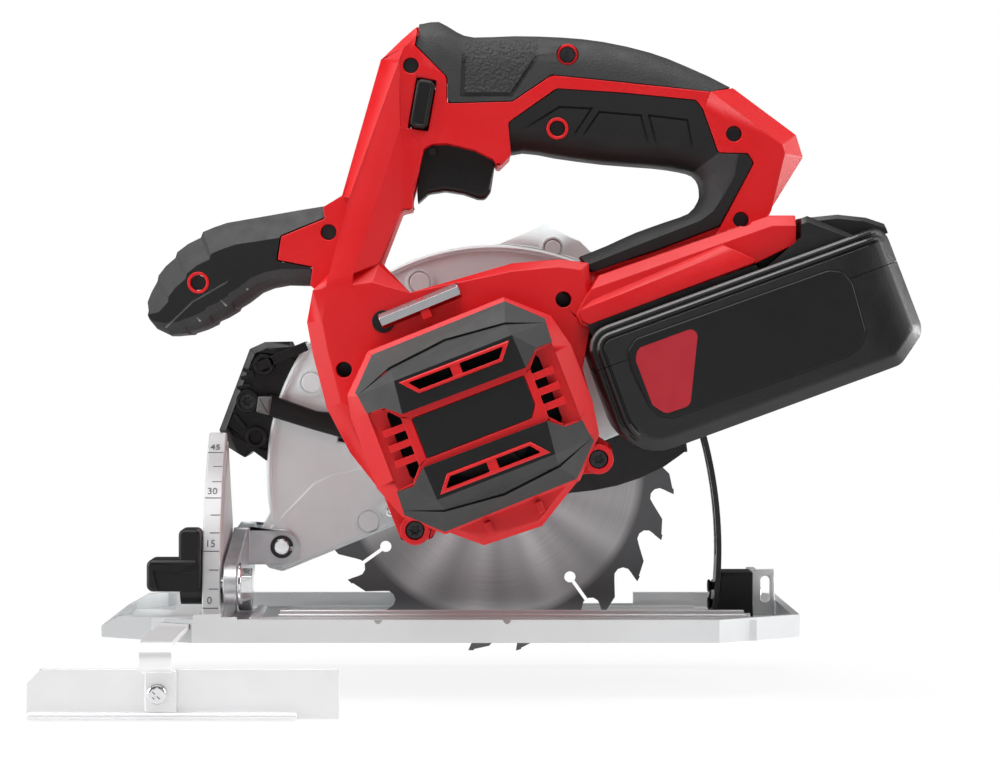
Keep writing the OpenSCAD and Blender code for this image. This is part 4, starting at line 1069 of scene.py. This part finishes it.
# %% Shape of the pack
pack_turn = 20.0
end_start, end_length, end_narrowing = 168, 25.5, 0.42
pack_near, pack_far = -118.0, -46.0
pack_corners = [(70.8, 98.8, 9), (70.8, 47, 17), (179, 47.2, 7), (192.4, 56, 7),
    (191.6, 98.8, 6.5)]
ridged = [(0, 5.6), (0, 2.8), (0.3, 1.7), (0.9, 1.2), (1.7, 1.3), (2.0, 2.3), (2.6, 2.3),
    (2.9, 0.9), (3.5, 0.3), (4.5, 0.3), (4.9, 1.3), (5.4, 1.3), (5.6, 0)]
chamfered = [(0, 5.6), (0, 4.4), (0.2, 4.1), (0.9, 3.4), (1.4, 2.9), (1.9, 2.4), (2.4, 1.9),
    (2.9, 1.4), (3.4, 0.9), (3.9, 0.4), (4.3, 0.1), (4.8, 0), (5.6, 0)]


def rounded(corners, steps=7):
    """Points round an outline whose corners are arcs of the given radii."""
    points = []
    for k, (x, z, radius) in enumerate(corners):
        here = Vector((x, z))
        back = (Vector(corners[k - 1][:2]) - here).normalized()
        ahead = (Vector(corners[(k + 1) % len(corners)][:2]) - here).normalized()
        half_turn = back.angle(ahead) / 2
        start = here + back * radius / math.tan(half_turn)
        middle = here + (back + ahead).normalized() * radius / math.sin(half_turn)
        sweep = math.pi - 2 * half_turn
        for step in range(steps + 1):
            turned_by = Matrix.Rotation(sweep * step / steps, 2)
            spoke = turned_by @ (start - middle)
            points.append((middle + spoke, spoke.normalized()))
    return points


def pack_solid():
    rings = []
    layers = [(pack_near, 1, k) for k in range(len(ridged) - 1, -1, -1)]
    layers += [(pack_far, -1, k) for k in range(len(ridged))]
    for depth, way, k in layers:
        ring = []
        for point, out in rounded(pack_corners):
            low = min(1.0, max(0.0, -out.y * 1.6 - 0.3)) if out.y < 0 else 0.0
            low = max(low, min(1.0, max(0.0, out.x)))
            move = [a + (b - a) * low for a, b in zip(ridged[k], chamfered[k])]
            spot = point - out * move[0]
            ring.append((spot.x, depth + way * move[1], spot.y))
        rings.append(ring)
    pack = loft(rings)
    for x in (end_start, 171, 174, 177, 180, 182.5, 185, 187, 189, 190.5):
        split(pack, (x * MM, 0, 0), (1, 0, 0))
    middle = (pack_near + pack_far) / 2 * MM
    for vert in pack.verts:
        run = min(1.0, max(0.0, (vert.co.x / MM - end_start) / end_length))
        narrow = 1 - end_narrowing * (1 - math.sqrt(1 - run * run))
        vert.co.y = middle + (vert.co.y - middle) * narrow
    return pack


print("pack outline:", len(rounded(pack_corners)), "points")

# %% [markdown]
# The pack is parted along a fine line into a lid and a case, so it is made twice and each
# copy keeps its own part. The lid carries a hump with the latch's pocket in it, a wall on its
# near side and the neck that fills the gap to the rail.

# %% Lid, case and latch
lid_line = 84.0
lid = combine(pack_solid(), block((0, -200, lid_line + 0.25), (300, 0, 200)), "INTERSECT")
hump = plate([(141, 97), (142, 103), (160, 104.6), (163.6, 111.8), (178, 108.2),
    (187.8, 103.4), (193.6, 98.8), (193.6, 95), (150, 95)], pack_near + 22, pack_far - 6, 0)
break_rim(hump, pack_near + 22, 1.6, where=lambda x, z: z > 98)
near_wall = plate([(132, 97), (140.0, 97), (160.4, 104.8), (163.0, 111.6), (165.4, 111.6),
    (179.6, 98.6), (180, 96)], pack_near + 7, pack_near + 23, 0)
break_rim(near_wall, pack_near + 7, 2.2, where=lambda x, z: x > 165.3 and z > 98 or z > 111)
neck = plate([(74, 96), (74, 101.6), (141, 101), (143, 96)], pack_near + 10, pack_far - 10, 0)
lid = cut(join(lid, hump, near_wall, neck), block((166, -94, 92.6), (184, -70, 130)))
case = combine(pack_solid(), block((0, -200, 0), (300, 0, lid_line)), "INTERSECT")
case = cut(case, plate([(76.6, 86), (76.6, 55), (84, 52.8), (176, 52.8), (176, 86)],
    pack_near + 6.2, pack_far - 6.2, 0))


def set_pack(shape):
    return place(shape, pack_turn, 0, 0)


def rim_highlight_faces(spot, normal):
    """The ridges round the near side, where they face up; they get a paler painted highlight."""
    return spot.y < pack_near + 3.2 and abs(normal.y) < 0.93 and normal.z - 0.4 * normal.x > 0.15


for word, shape in (("lid", lid), ("case", case)):
    new_piece("battery_" + word + "_shell", set_pack(shape), battery_plastic, "battery",
        ["battery_" + word], soft=0, smooth=32, zones=[(rim_plastic, rim_highlight_faces)])
latch_near, latch_far = -93.5, -70.5
latch_button = plate([(166.8, 98), (166.8, 106.6), (170.6, 107.6), (181.4, 103.4),
    (183.2, 101.6), (183.2, 98)], latch_near, latch_far, 0.8)
for depth in (latch_near, latch_far):
    break_rim(latch_button, depth, 0.7, 2)
new_piece("latch_button", set_pack(latch_button), battery_plastic, "battery_latch",
    ["battery_latch"], soft=0)

# %% [markdown]
# The side carries a bare smooth panel with a fine edge, and a plain red patch on it. They
# could be colours on the case's faces, but thin plates catch a line of light at their edges.

# %% Side panel and patch
panel_gloss = Finish("panel_gloss", (13, 13, 14), 0.34, specular=0.4)
panel_gloss.mottle(0.02, 0.1).rough(0.006, 0.30, 0.40)
panel_outline = [(84.5, 66), (87, 60.5), (92, 58), (160, 57.2), (166.5, 59), (170.2, 64),
    (171.6, 82), (169.8, 87.3), (165, 89.8), (88.5, 90.4), (84.2, 87), (83, 80)]
side_panel = break_rim(plate(panel_outline, pack_near - 0.35, pack_near + 1.5, 3.5),
    pack_near - 0.35, 0.3)
gap_line = plate([(x + (0.5 if x > 127 else -0.5), z + (0.5 if z > 74 else -0.5))
    for x, z in panel_outline], pack_near - 0.04, pack_near + 1.2, 3.5)
new_piece("battery_side_panel", gather(set_pack(side_panel), set_pack(gap_line)), panel_gloss,
    "battery", soft=0)
patch_red = Finish("patch_red", (168, 34, 46), 0.5, specular=0.3)
patch_red.mottle(0.01, 0.06).rough(0.004, 0.44, 0.56)
patch = plate([(85.8, 83), (88, 86.8), (112.3, 86.9), (99.2, 60.1), (89.5, 60.3), (86, 65)],
    pack_near - 0.5, pack_near + 0.5, 3.0)
new_piece("battery_patch", set_pack(patch), patch_red, "battery", soft=0)

# %% [markdown]
# ## Controls on the handle
# The trigger has a hollow for the finger and rounded rims. The safety button is a long pill
# that shows on the column, with a shallow dish in its face. Both are plates whose rims are
# rounded in three steps, which is how a moulding of this size reads.

# %% Trigger and button
trigger_outline = [(-28.3, 189.5), (-24, 192), (-5.8, 189.5), (0.4, 184), (-1.4, 172.2),
    (-3.6, 169.2), (-6.5, 169.3), (-12, 171.2), (-19, 172.3), (-25.5, 171.3), (-29.6, 167.6),
    (-29.9, 172)]
trigger_shape = plate(trigger_outline, seam - 8, seam + 8, 2.2, lambda x, z: x < -26)
for depth in (seam - 8, seam + 8):
    break_rim(trigger_shape, depth, 1.8, 3, where=lambda x, z: z < 178 and x > -26)
new_piece("finger_trigger", trigger_shape, black_plastic, "trigger", ["trigger"], soft=0.3)

button = plate([(-31.2, 214.2), (-24.2, 214.2), (-24.2, 195.4), (-31.2, 195.4)],
    grip_near - 2.5, grip_far - 0.5, 2.2)
break_rim(button, grip_near - 2.5, 1.2, 3)
dish = plate([(-29.8, 212.8), (-25.6, 212.8), (-25.6, 196.8), (-29.8, 196.8)],
    grip_near - 5, grip_near - 2.1, 1.4)
button = swing(cut(button, dish), button_lean, about=(button_x, 0, button_z))
new_piece("safety_button", button, black_plastic, "lock_off", ["lock_off_button"], soft=0.2)

# %% [markdown]
# The key is two six-sided rods in bright chrome, with a socket for its foot and a red clip
# for its arm. A rod with six sides already has the key's section, so only its ends are rounded.

# %% Hex key and its holder
key_place = (22.2, -41, 122.5)
chrome = Finish("chrome", (160, 161, 164), 0.20, metallic=1.0)
chrome.mottle(0.006, 0.03)
key_arm = swing(rod((-2.6, -107, 0), (29.8, -107, 0), 3.0, 6), 6, "X", (0, -107, 0))
bevel(key_arm, [e for e in key_arm.edges if e.calc_length() < 4 * MM], 0.45 * MM, 2)
key_foot = pin(0, 0, -106, -92, 2.6, 6)
new_piece("hex_bar_key", place(gather(key_arm, key_foot), *key_place), chrome, "hex_key",
    ["hex_key"], soft=0.15)
clip = place(block((13, -108.6, -5.6), (16.5, -103, 2.6)), *key_place)
new_piece("key_clip", clip, red_plastic, "head", soft=0.4)
new_piece("key_socket", pin(-42.2, 121.8, -104.5, -103.6, 4.3), black_plastic, "head", soft=0.2)

# %% [markdown]
# ## Upper guard
# The guard is a die-cast aluminium shell. The CAD shell's section is right, so a merged copy
# of it gets its edges broken. Then the small things go on as thin pieces: the rolled rim, the
# round marks of the mould's ejector pins, and the raised web with its slanting edge.

# %% Softened copies of CAD pieces
FLAT_ENOUGH = 0.6  # degrees: faces that bend less than this become one


def soften(node, finish, body, soft, zones=()):
    """A merged copy of a CAD piece with broken edges takes the piece's place."""
    shape = bmesh.new()
    shape.from_mesh(nodes[node].data)
    bmesh.ops.remove_doubles(shape, verts=shape.verts[:], dist=WELD)
    bmesh.ops.dissolve_limit(shape, angle_limit=math.radians(FLAT_ENOUGH),
        verts=shape.verts[:], edges=shape.edges[:])
    return new_piece(node + "_finished", shape, finish, body, [node], soft, zones=zones)


def swept_band(corners, start, end):
    """A radius-and-Y section spun about the blade's axis, from one angle to another."""
    shape = bmesh.new()
    section = [shape.verts.new((r * MM, y * MM, 0)) for r, y in corners]
    face = shape.faces.new(section)
    bmesh.ops.rotate(shape, cent=(0, 0, 0), verts=section,
        matrix=Matrix.Rotation(math.radians(-start), 3, "Y"))
    bmesh.ops.spin(shape, geom=[face] + face.edges[:] + section, cent=(0, 0, 0),
        axis=(0, 1, 0), dvec=(0, 0, 0), angle=math.radians(start - end), steps=72,
        use_merge=False)
    bmesh.ops.recalc_face_normals(shape, faces=shape.faces[:])
    return place(shape, 0, 0, axis_height / MM)


print("softening and sweeping tools ready")

# %% [markdown]
# The marks stand a little proud of the guard's flat side: each is a low disc in a ring. They
# could be joined to the shell, but on top of it they leave its faces whole, which shade better.

# %% Guard and its marks
guard_near = -20.0
web_screw_x, web_screw_z = -41.6, 45.2
soften("upper_guard", guard_alloy, "head", 0.7)
rim_section = [(89.2, -19.8), (89.8, -20.9), (90.8, -21.2), (91.7, -20.7), (91.9, -19.8)]
new_piece("guard_rim", swept_band(rim_section, 60, 194), guard_alloy, "head", soft=0)
marks = []
for x, z, radius in ((-29.8, 138.2, 4.0), (-73.6, 97.6, 4.0), (-50.4, 41.6, 4.2),
        (24.0, 152.0, 3.2)):
    proud = guard_near - (1.6 if z < 50 else 0.7)
    marks.append(break_rim(pin(x, z, proud, guard_near + 0.4, radius, 40), proud, 0.3))
    marks.append(tube(x, z, proud, guard_near + 0.4, radius + 0.6, radius + 1.3))
web_mark = plate([(-91.2, 38.2), (-72.9, 56.9), (-66, 60.5), (-40, 66), (-40, 41), (-60, 32.5),
    (-78.4, 25), (-85.4, 22.2), (-90.2, 23.6), (-94.3, 28.6), (-94.3, 35.4)],
    guard_near - 0.9, guard_near + 0.4, 0)
marks.append(break_rim(web_mark, guard_near - 0.9, 0.7))
marks.append(pin(web_screw_x, web_screw_z, guard_near - 2.0, guard_near, 3.2, 32, 3.6))
new_piece("guard_marks", gather(*marks), guard_alloy, "head", soft=0)
web_screw = cut(pin(web_screw_x, web_screw_z, -23.0, -19, 2.0),
    pin(web_screw_x, web_screw_z, -24, -22.2, 1.0, 6))
new_piece("web_screw", web_screw, bright_steel, "head", soft=0.15)

# %% [markdown]
# ## Black guard parts
# The cover at the guard's front is moulded with a chamfered outer edge, a raised arm, round
# bosses and a row of ribs; its holes are blind. A plate gives its body, and the raised things
# are one more piece on it.

# %% Guard cover
cover_outline = [(-92.6, 114), (-98.8, 111.2), (-111.2, 78.2), (-107.4, 71.2), (-100.5, 67.2),
    (-97.3, 69.9), (-91.2, 65.4), (-83, 88), (-72.5, 109), (-73.8, 114.9), (-82, 112),
    (-83, 114.2)]
cover = break_rim(plate(cover_outline, -21, 12, 0), -21, 2.6,
    where=lambda x, z: x < -92 and z > 72 or z > 113.4)
recess = plate([(-95.5, 109.8), (-98, 106), (-107.6, 79.8), (-105, 76), (-100, 73.5), (-92, 70),
    (-80, 92), (-76, 106), (-84, 108.4)], -30, -19.6, 1.0)
cover = cut(cover, recess, pin(0, axis_height / MM, -30, 30, 92.0, 160))
blade_side = swept_band([(90.0, -18.5), (92.6, -18.5), (92.6, 11.5), (90.0, 11.5)], 148, 176)
arm = place(block((-3.5, -22.4, -1.9), (18.6, -18.6, 1.9)), 23.5, -92.6, 105.0)
raised = [arm, blade_side]
for x, z, radius in ((-92.8, 104.8, 4.1), (-95.9, 75.4, 4.3), (-99.5, 90.1, 4.6)):
    raised.append(cut(pin(x, z, -22.4, -16, radius, 40, radius + 0.4),
        pin(x, z, -30, -18.6, radius - 1.3)))
ribs = [((-102.4, 99.4), (-96.8, 100.6)), ((-103.8, 95.4), (-98.2, 96.6)),
    ((-104.6, 84.6), (-100.4, 79.2)), ((-101.6, 103.0), (-97.0, 101.2))]
raised += [bar_along(start, end, 1.4, -21.4, -18.6) for start, end in ribs]
new_piece("guard_cover_moulding", cover, black_plastic, "head", ["guard_cover"], soft=0.3)
new_piece("cover_bosses", gather(*raised), black_plastic, "head", soft=0.2)
new_piece("cover_cap_screw", socket_screw(-99.5, 90.1, -22.0, -6), dark_steel, "head",
    ["cover_screw"], soft=0.15)

# %% [markdown]
# The lower guard is pressed steel, painted black, and its CAD shape only needs soft edges. Its
# lever is a bent handle with a worn grey tip, drawn new as two plates.

# %% Lower guard and its lever
soften("lower_guard", black_metal, "lower_guard", 0.3)
grey_tip = Finish("grey_tip", (112, 112, 112), 0.5, specular=0.4)
grey_tip.mottle(0.01, 0.1).rough(0.004, 0.44, 0.6)
lever_outline = [(-93.6, 92.4), (-89.6, 92.6), (-71.6, 86.2), (-56, 84.4), (-52.6, 82.0),
    (-52.6, 75.4), (-56, 73.6), (-63.6, 76.0), (-72.7, 78.6), (-89.2, 83.6), (-94.8, 85.4)]
lever_arm = plate(lever_outline, -26.5, -21.5, 0.8)
break_rim(lever_arm, -26.5, 1.0, 2)
tip = plate([(-94.8, 92.0), (-89.2, 92.0), (-90.4, 84.4), (-95.6, 85.8)], -27.6, -21.2, 0.6)
break_rim(tip, -27.6, 0.9, 2)
new_piece("guard_lever_arm", lever_arm, black_plastic, "lower_guard", ["guard_lever"], soft=0)
new_piece("guard_lever_tip", tip, grey_tip, "lower_guard", soft=0)
soften("spindle_lock", black_plastic, "spindle_lock", 0.5)

# %% [markdown]
# ## Bevel frame
# The front bracket is thick pressed steel with a round end for the pin, which a spring clip
# holds. The bevel lever is moulded: a tall hub and a finger rest in front of it, rounded all
# over. The strip that the depth lock grips is spring steel.

# %% Bracket, levers and strip
zinc_steel = Finish("zinc_steel", (198, 200, 203), 0.34, metallic=0.7)
zinc_steel.mottle(0.008, 0.12).rough(0.004, 0.28, 0.44)
soften("front_bracket", zinc_steel, "bevel_frame", 0.7)
soften("depth_pivot_pin", bright_steel, "bevel_frame", 0.4)
pin_clip = cut(tube(-85.4, 31.4, -25.7, -24.7, 2.9, 4.6),
    block((-82.6, -30, 29.8), (-78, -20, 31.6)))
new_piece("pin_clip", pin_clip, dark_steel, "bevel_frame", soft=0.15)
for node, finish, soft in (("bevel_pins", bright_steel, 0.5), ("bevel_bolt", bright_steel, 0.4),
        ("depth_strip", dark_steel, 0.25), ("strip_foot", black_plastic, 0.7)):
    soften(node, finish, "bevel_frame", soft)
hub_block = plate([(-121.4, 24), (-112.9, 24), (-112.9, 42.2), (-121.4, 42.2)], -86.2, -70.3,
    2.4)
rest = plate([(-133.6, 18.2), (-113.0, 18.2), (-113.0, 30.6), (-133.6, 30.6)], -87.2, -68.3, 2.6)
for shape, near, far in ((hub_block, -86.2, -70.3), (rest, -87.2, -68.3)):
    for depth in (near, far):
        break_rim(shape, depth, 2.0, 3)
step_down = plate([(-131, 26.4), (-119.4, 26.4), (-116.8, 28.8), (-110, 28.8), (-110, 15),
    (-127.6, 15), (-129.4, 19.4)], -95, -86.0, 0)
rest = cut(rest, step_down)
hub = rod((-121, -76.25, 20.72), (-112.9, -76.25, 20.72), 8.0, 48)
new_piece("bevel_lever_grip", gather(hub_block, rest, hub), black_plastic, "bevel_lever",
    ["bevel_lever"], soft=0)
soften("depth_lever", black_plastic, "depth_lever", 1.2)

# %% [markdown]
# ## Sole
# The sole is a die-cast plate with a turned-up rim. A merged copy of the CAD plate keeps its
# crisp edges, and only its front lip gets a duller grey where it faces left: a painted shade.
# Beads, ribs and screw bosses are cast into its top, and they are added as low pieces with sloping
# sides.

# %% Sole with its cast beads
# Duller grey for the front lip: a painted shade.
lip_alloy = Finish("lip_alloy", (176, 178, 179), 0.50, metallic=0.1, specular=0.3)
lip_alloy.mottle(0.05, 0.03).grain(0.0008, 0.00002)


def lip_shade_faces(spot, normal):
    """The front lip's left-facing faces and its low corners get a duller grey, a painted shade."""
    return spot.x < -112 and (normal.x < -0.3 or spot.z < 3)


soften("base_plate", cast_alloy, "base", 0, zones=[(lip_alloy, lip_shade_faces)])


def bead_box(x0, x1, y0, y1, low, high, slope=0.6):
    """Box with its upper edges rounded."""
    bead = block((x0, y0, low), (x1, y1, high))
    top = [e for e in bead.edges if all(v.co.z > (high - 0.01) * MM for v in e.verts)]
    bevel(bead, top, slope * MM, 2)
    return bead


beads = [bead_box(-86, 92, -49.5, -46.5, 2.8, 3.9), bead_box(-86, 92, -40.5, -37.5, 2.8, 3.9),
    bead_box(-84, 98, -71, -69, 2.8, 8.4, 0.5), bead_box(-84, 98, -58.4, -56.8, 2.8, 8.8, 0.4),
    bead_box(-97, -94, -49.5, 8, 2.8, 5.2), bead_box(93, 96, -69, 12, 2.8, 6.0)]
for x, y in ((-88, -74.5), (60, -74.5), (-88, -63.5), (60, -63.5), (100, -40), (100, -20)):
    beads.append(cut(rod((x, y, 2.8), (x, y, 6.2), 3.2, 32, 2.7),
        rod((x, y, 4.6), (x, y, 8), 1.5, 20)))
new_piece("sole_beads", gather(*beads), cast_alloy, "base", soft=0)

# %% [markdown]
# ## Bevel quadrant
# The quadrant's outer edge carries the bevel scale: a tick every five degrees, longer ones and
# a figure every fifteen. Ticks and figures are pressed in and filled dark, so each is a thin
# dark piece that lies on the arc. A figure is a text curve turned into a mesh and laid flat.

# %% Quadrant and its scale
quadrant_alloy = Finish("quadrant_alloy", (206, 208, 209), 0.42, metallic=0.2)
quadrant_alloy.mottle(0.02, 0.04).grain(0.0008, 0.00004)
soften("bevel_quadrant", quadrant_alloy, "base", 0.7)
scale_ink = Finish("scale_ink", (96, 96, 98), 0.6, specular=0.3)
scale_ink.mottle(0.004, 0.15)
arc_radius, hinge_height = 84, 10


def on_arc(shape, bevel_angle, x):
    """Carries a shape drawn flat on X-Z at the origin to its place on the quadrant's arc."""
    bmesh.ops.translate(shape, vec=(x * MM, -arc_radius * MM, 0), verts=shape.verts)
    swing(shape, -bevel_angle, "X")
    bmesh.ops.translate(shape, vec=(0, 0, hinge_height * MM), verts=shape.verts)
    return shape


def figure(text, size):
    """A number as a thin solid standing on X-Z."""
    curve = bpy.data.curves.new("figure", "FONT")
    curve.body, curve.size, curve.extrude = text, size * MM, 0.09 * MM
    curve.align_x, curve.align_y = "CENTER", "BOTTOM"
    holder = bpy.data.objects.new("figure", curve)
    bpy.context.scene.collection.objects.link(holder)
    bpy.context.view_layer.update()
    mesh = bpy.data.meshes.new_from_object(holder)
    shape = bmesh.new()
    shape.from_mesh(mesh)
    bpy.data.objects.remove(holder)
    bpy.data.curves.remove(curve)
    bpy.data.meshes.remove(mesh)
    bmesh.ops.remove_doubles(shape, verts=shape.verts[:], dist=TINY)
    return swing(shape, 90, "X")


scale_marks = []
for k in range(10):
    start = -109.9 if k % 3 else -112.3
    tick = block((start, -0.08, -0.16), (-106.2, 0.08, 0.16))
    scale_marks.append(on_arc(tick, 1.2 + 5 * k, 0))
for k, text in enumerate(("0", "15", "30", "45")):
    scale_marks.append(on_arc(figure(text, 4.0), 1.8 + 15 * k, -109.6))
new_piece("bevel_scale", gather(*scale_marks), scale_ink, "base", soft=0)
soften("rear_ear", plated_steel, "base", 0.4)

# %% [markdown]
# ## Parallel guide
# The guide bar is a strip of plated sheet, bent down at its front in an S, and the fence is a
# sheet with a rolled lower edge. A bent strip is its centre line thickened to both sides, so
# its bends are truly round.

# %% Guide bar and fence
def strip(path, thick, low, high):
    """Sheet strip from a Y-Z centre line, with its width from low to high along X."""
    points = [Vector((0, y, z)) for y, z in path]
    left, right = [], []
    for k, point in enumerate(points):
        ahead = (points[min(k + 1, len(points) - 1)] - points[max(k - 1, 0)]).normalized()
        side = Vector((0, -ahead.z, ahead.y)) * thick / 2
        left.append(point + side)
        right.append(point - side)
    outline = left + right[::-1]
    return loft([[(x, p.y, p.z) for p in outline] for x in (low, high)])


def bend(y, z, radius, start, end, steps=8):
    """Points on an arc about (y, z), from one angle in degrees to another."""
    turns = [math.radians(start + (end - start) * k / steps) for k in range(steps + 1)]
    return [(y + radius * math.cos(turn), z + radius * math.sin(turn)) for turn in turns]


screw_x, screw_z = -121.7, -12.3
bar_path = [(3, 6), *bend(-163.6, 1.6, 4.4, 90, 180), *bend(-164.6, 0.5, 3.4, 180, 270),
    *bend(-163.4, -5.3, 2.4, 90, 0)]
guide_strip = strip(bar_path, 2.0, -127.5, -116)
tab = break_rim(plate([(-126.2, -3.6), (-114.8, -3.6), (-114.8, -19), (-126.2, -19)], -162.2,
    -160.2, 0.8), -162.2, 0.3)
tab = cut(tab, pin(screw_x, screw_z, -170, -150, 2.0, 24))
new_piece("guide_strip", gather(guide_strip, tab), plated_steel, "guide", ["guide_bar"],
    soft=0, smooth=30)
fence = plate([(-169, -8.5), (-164, -3.4), (-56.5, -3.4), (-56.5, -21.4), (-169, -21.4)], -160,
    -158.4, 1.2)
new_piece("fence_sheet", cut(fence, pin(screw_x, screw_z, -170, -150, 2.0, 24)), plated_steel,
    "guide", ["fence_plate"], soft=0.2)
fence_roll = rod((-168.6, -162.6, -20.1), (-71.4, -162.6, -20.1), 1.35, 24)
ends = [e for e in fence_roll.edges if abs(e.verts[0].co.x - e.verts[1].co.x) < TINY]
bevel(fence_roll, ends, 0.9 * MM, 3)
tongue = block((-168, -162.0, -21.3), (-73, -159.2, -20.2))
new_piece("fence_roll", gather(fence_roll, tongue), plated_steel, "guide", soft=0)

# %% [markdown]
# The guide screw has a low round head with a cross recess, and a nut behind the fence. Turned
# and pressed parts as small as these are plain pins with one rim rounded.

# %% Fence screw
screw_head = break_rim(pin(screw_x, screw_z, -164.2, -162, 3.6, 40), -164.2, 0.9, 3)
screw_head = cut(screw_head, *[place(block((-1.9, -170, -0.45), (1.9, -163.1, 0.45)), turn,
    screw_x, screw_z) for turn in (45, 135)])
shank = pin(screw_x, screw_z, -162.5, -156.5, 1.9, 24)
nut = break_rim(pin(screw_x, screw_z, -158.4, -156, 4.0, 6), -156, 0.4)
new_piece("guide_screw", gather(screw_head, shank, nut), bright_steel, "guide",
    ["fence_screw"], soft=0)

# %% [markdown]
# ## Finishes on the CAD pieces
# Many CAD pieces already have the right shape: sheet parts, screws, the inside of the motor.
# They only need their real finish, so each one's material slots are filled here.

# %% Give every CAD piece its finish
dressing = (
    (cast_alloy, "base_plate bevel_quadrant"),
    (guard_alloy, "upper_guard bearing_holder gear_case"),
    (plated_steel, "rear_ear guide_bar fence_plate front_bracket depth_clamp "
        "spindle_bearings motor_bearings motor_can"),
    (bright_steel, "fence_screw depth_pivot_pin bevel_pins bevel_bolt return_spring spindle "
        "blade_flanges rotor_shaft hex_key"),
    (dark_steel, "depth_strip cover_screw housing_screws cap_screws drive_gear blade_bolt "
        "magnets"),
    (black_metal, "lower_guard trigger_pin"),
    (black_plastic, "strip_foot bevel_lever guard_cover brush_holder carbon_brushes "
        "switch_module terminal_block depth_lever cooling_fan guard_lever trigger "
        "lock_off_button spindle_lock label_panel"),
    (battery_plastic, "battery_case battery_lid battery_latch"),
    (red_plastic, "handle_shell_left handle_shell_right motor_cap"),
    (rubber, "grip_rubber_left grip_rubber_right front_grip_left front_grip_right"),
    (panel_rubber, "cap_rubber"),
    (blade_steel, "blade"),
    (copper_winding, "armature"),
    (cell_wrap, "battery_cells"),
    (wire_skin, "wiring"),
)
dressed = []
for finish, names in dressing:
    for name in names.split():
        mesh = nodes[name].data
        mesh.materials.clear()
        mesh.materials.append(finish.mat)
        dressed.append(name)
print("finished nodes:", len(dressed), "left over:", sorted(set(nodes) - set(dressed)))

# %% [markdown]
# ## Floor
# The saw stands on a pale floor. Its glow, seen only by the camera and in reflections, makes
# it white further out and leaves a soft shadow near the saw.

# %% Floor
fade_from, fade_to, least_glow = 0.12, 0.70, 0.86
floor_mesh = bpy.data.meshes.new("floor")
shape = bmesh.new()
bmesh.ops.create_grid(shape, x_segments=1, y_segments=1, size=6.0)
bmesh.ops.translate(shape, vec=(0, 0, cad_box[0][2] - 0.0005), verts=shape.verts)
shape.to_mesh(floor_mesh)
shape.free()
floor = bpy.data.objects.new("floor", floor_mesh)
bpy.context.scene.collection.objects.link(floor)
floor_finish = bpy.data.materials.new("floor_white")
floor_finish.use_nodes = True
floor_mesh.materials.append(floor_finish)
tree = floor_finish.node_tree
tree.nodes.clear()
ray = add_node(tree, "ShaderNodeLightPath").outputs
seen = larger(tree, larger(tree, ray["Is Camera Ray"], ray["Is Glossy Ray"]),
    ray["Is Transmission Ray"])
place_on_floor = add_node(tree, "ShaderNodeTexCoord").outputs["Object"]
away = add_node(tree, "ShaderNodeVectorMath", {0: place_on_floor}, operation="LENGTH")
fade = add_node(tree, "ShaderNodeMapRange", {"Value": away.outputs["Value"],
    "From Min": fade_from, "From Max": fade_to, "To Min": least_glow},
    interpolation_type="SMOOTHSTEP")
share = add_node(tree, "ShaderNodeMath", {0: fade.outputs[0], 1: seen},
    operation="MULTIPLY")
matte = add_node(tree, "ShaderNodeBsdfDiffuse", {"Color": (0.90, 0.90, 0.90, 1)})
glow = add_node(tree, "ShaderNodeEmission")
mix = add_node(tree, "ShaderNodeMixShader", {0: share.outputs[0], 1: matte.outputs[0],
    2: glow.outputs[0]})
add_node(tree, "ShaderNodeOutputMaterial", {0: mix.outputs[0]})
print("floor at", round(cad_box[0][2], 4))
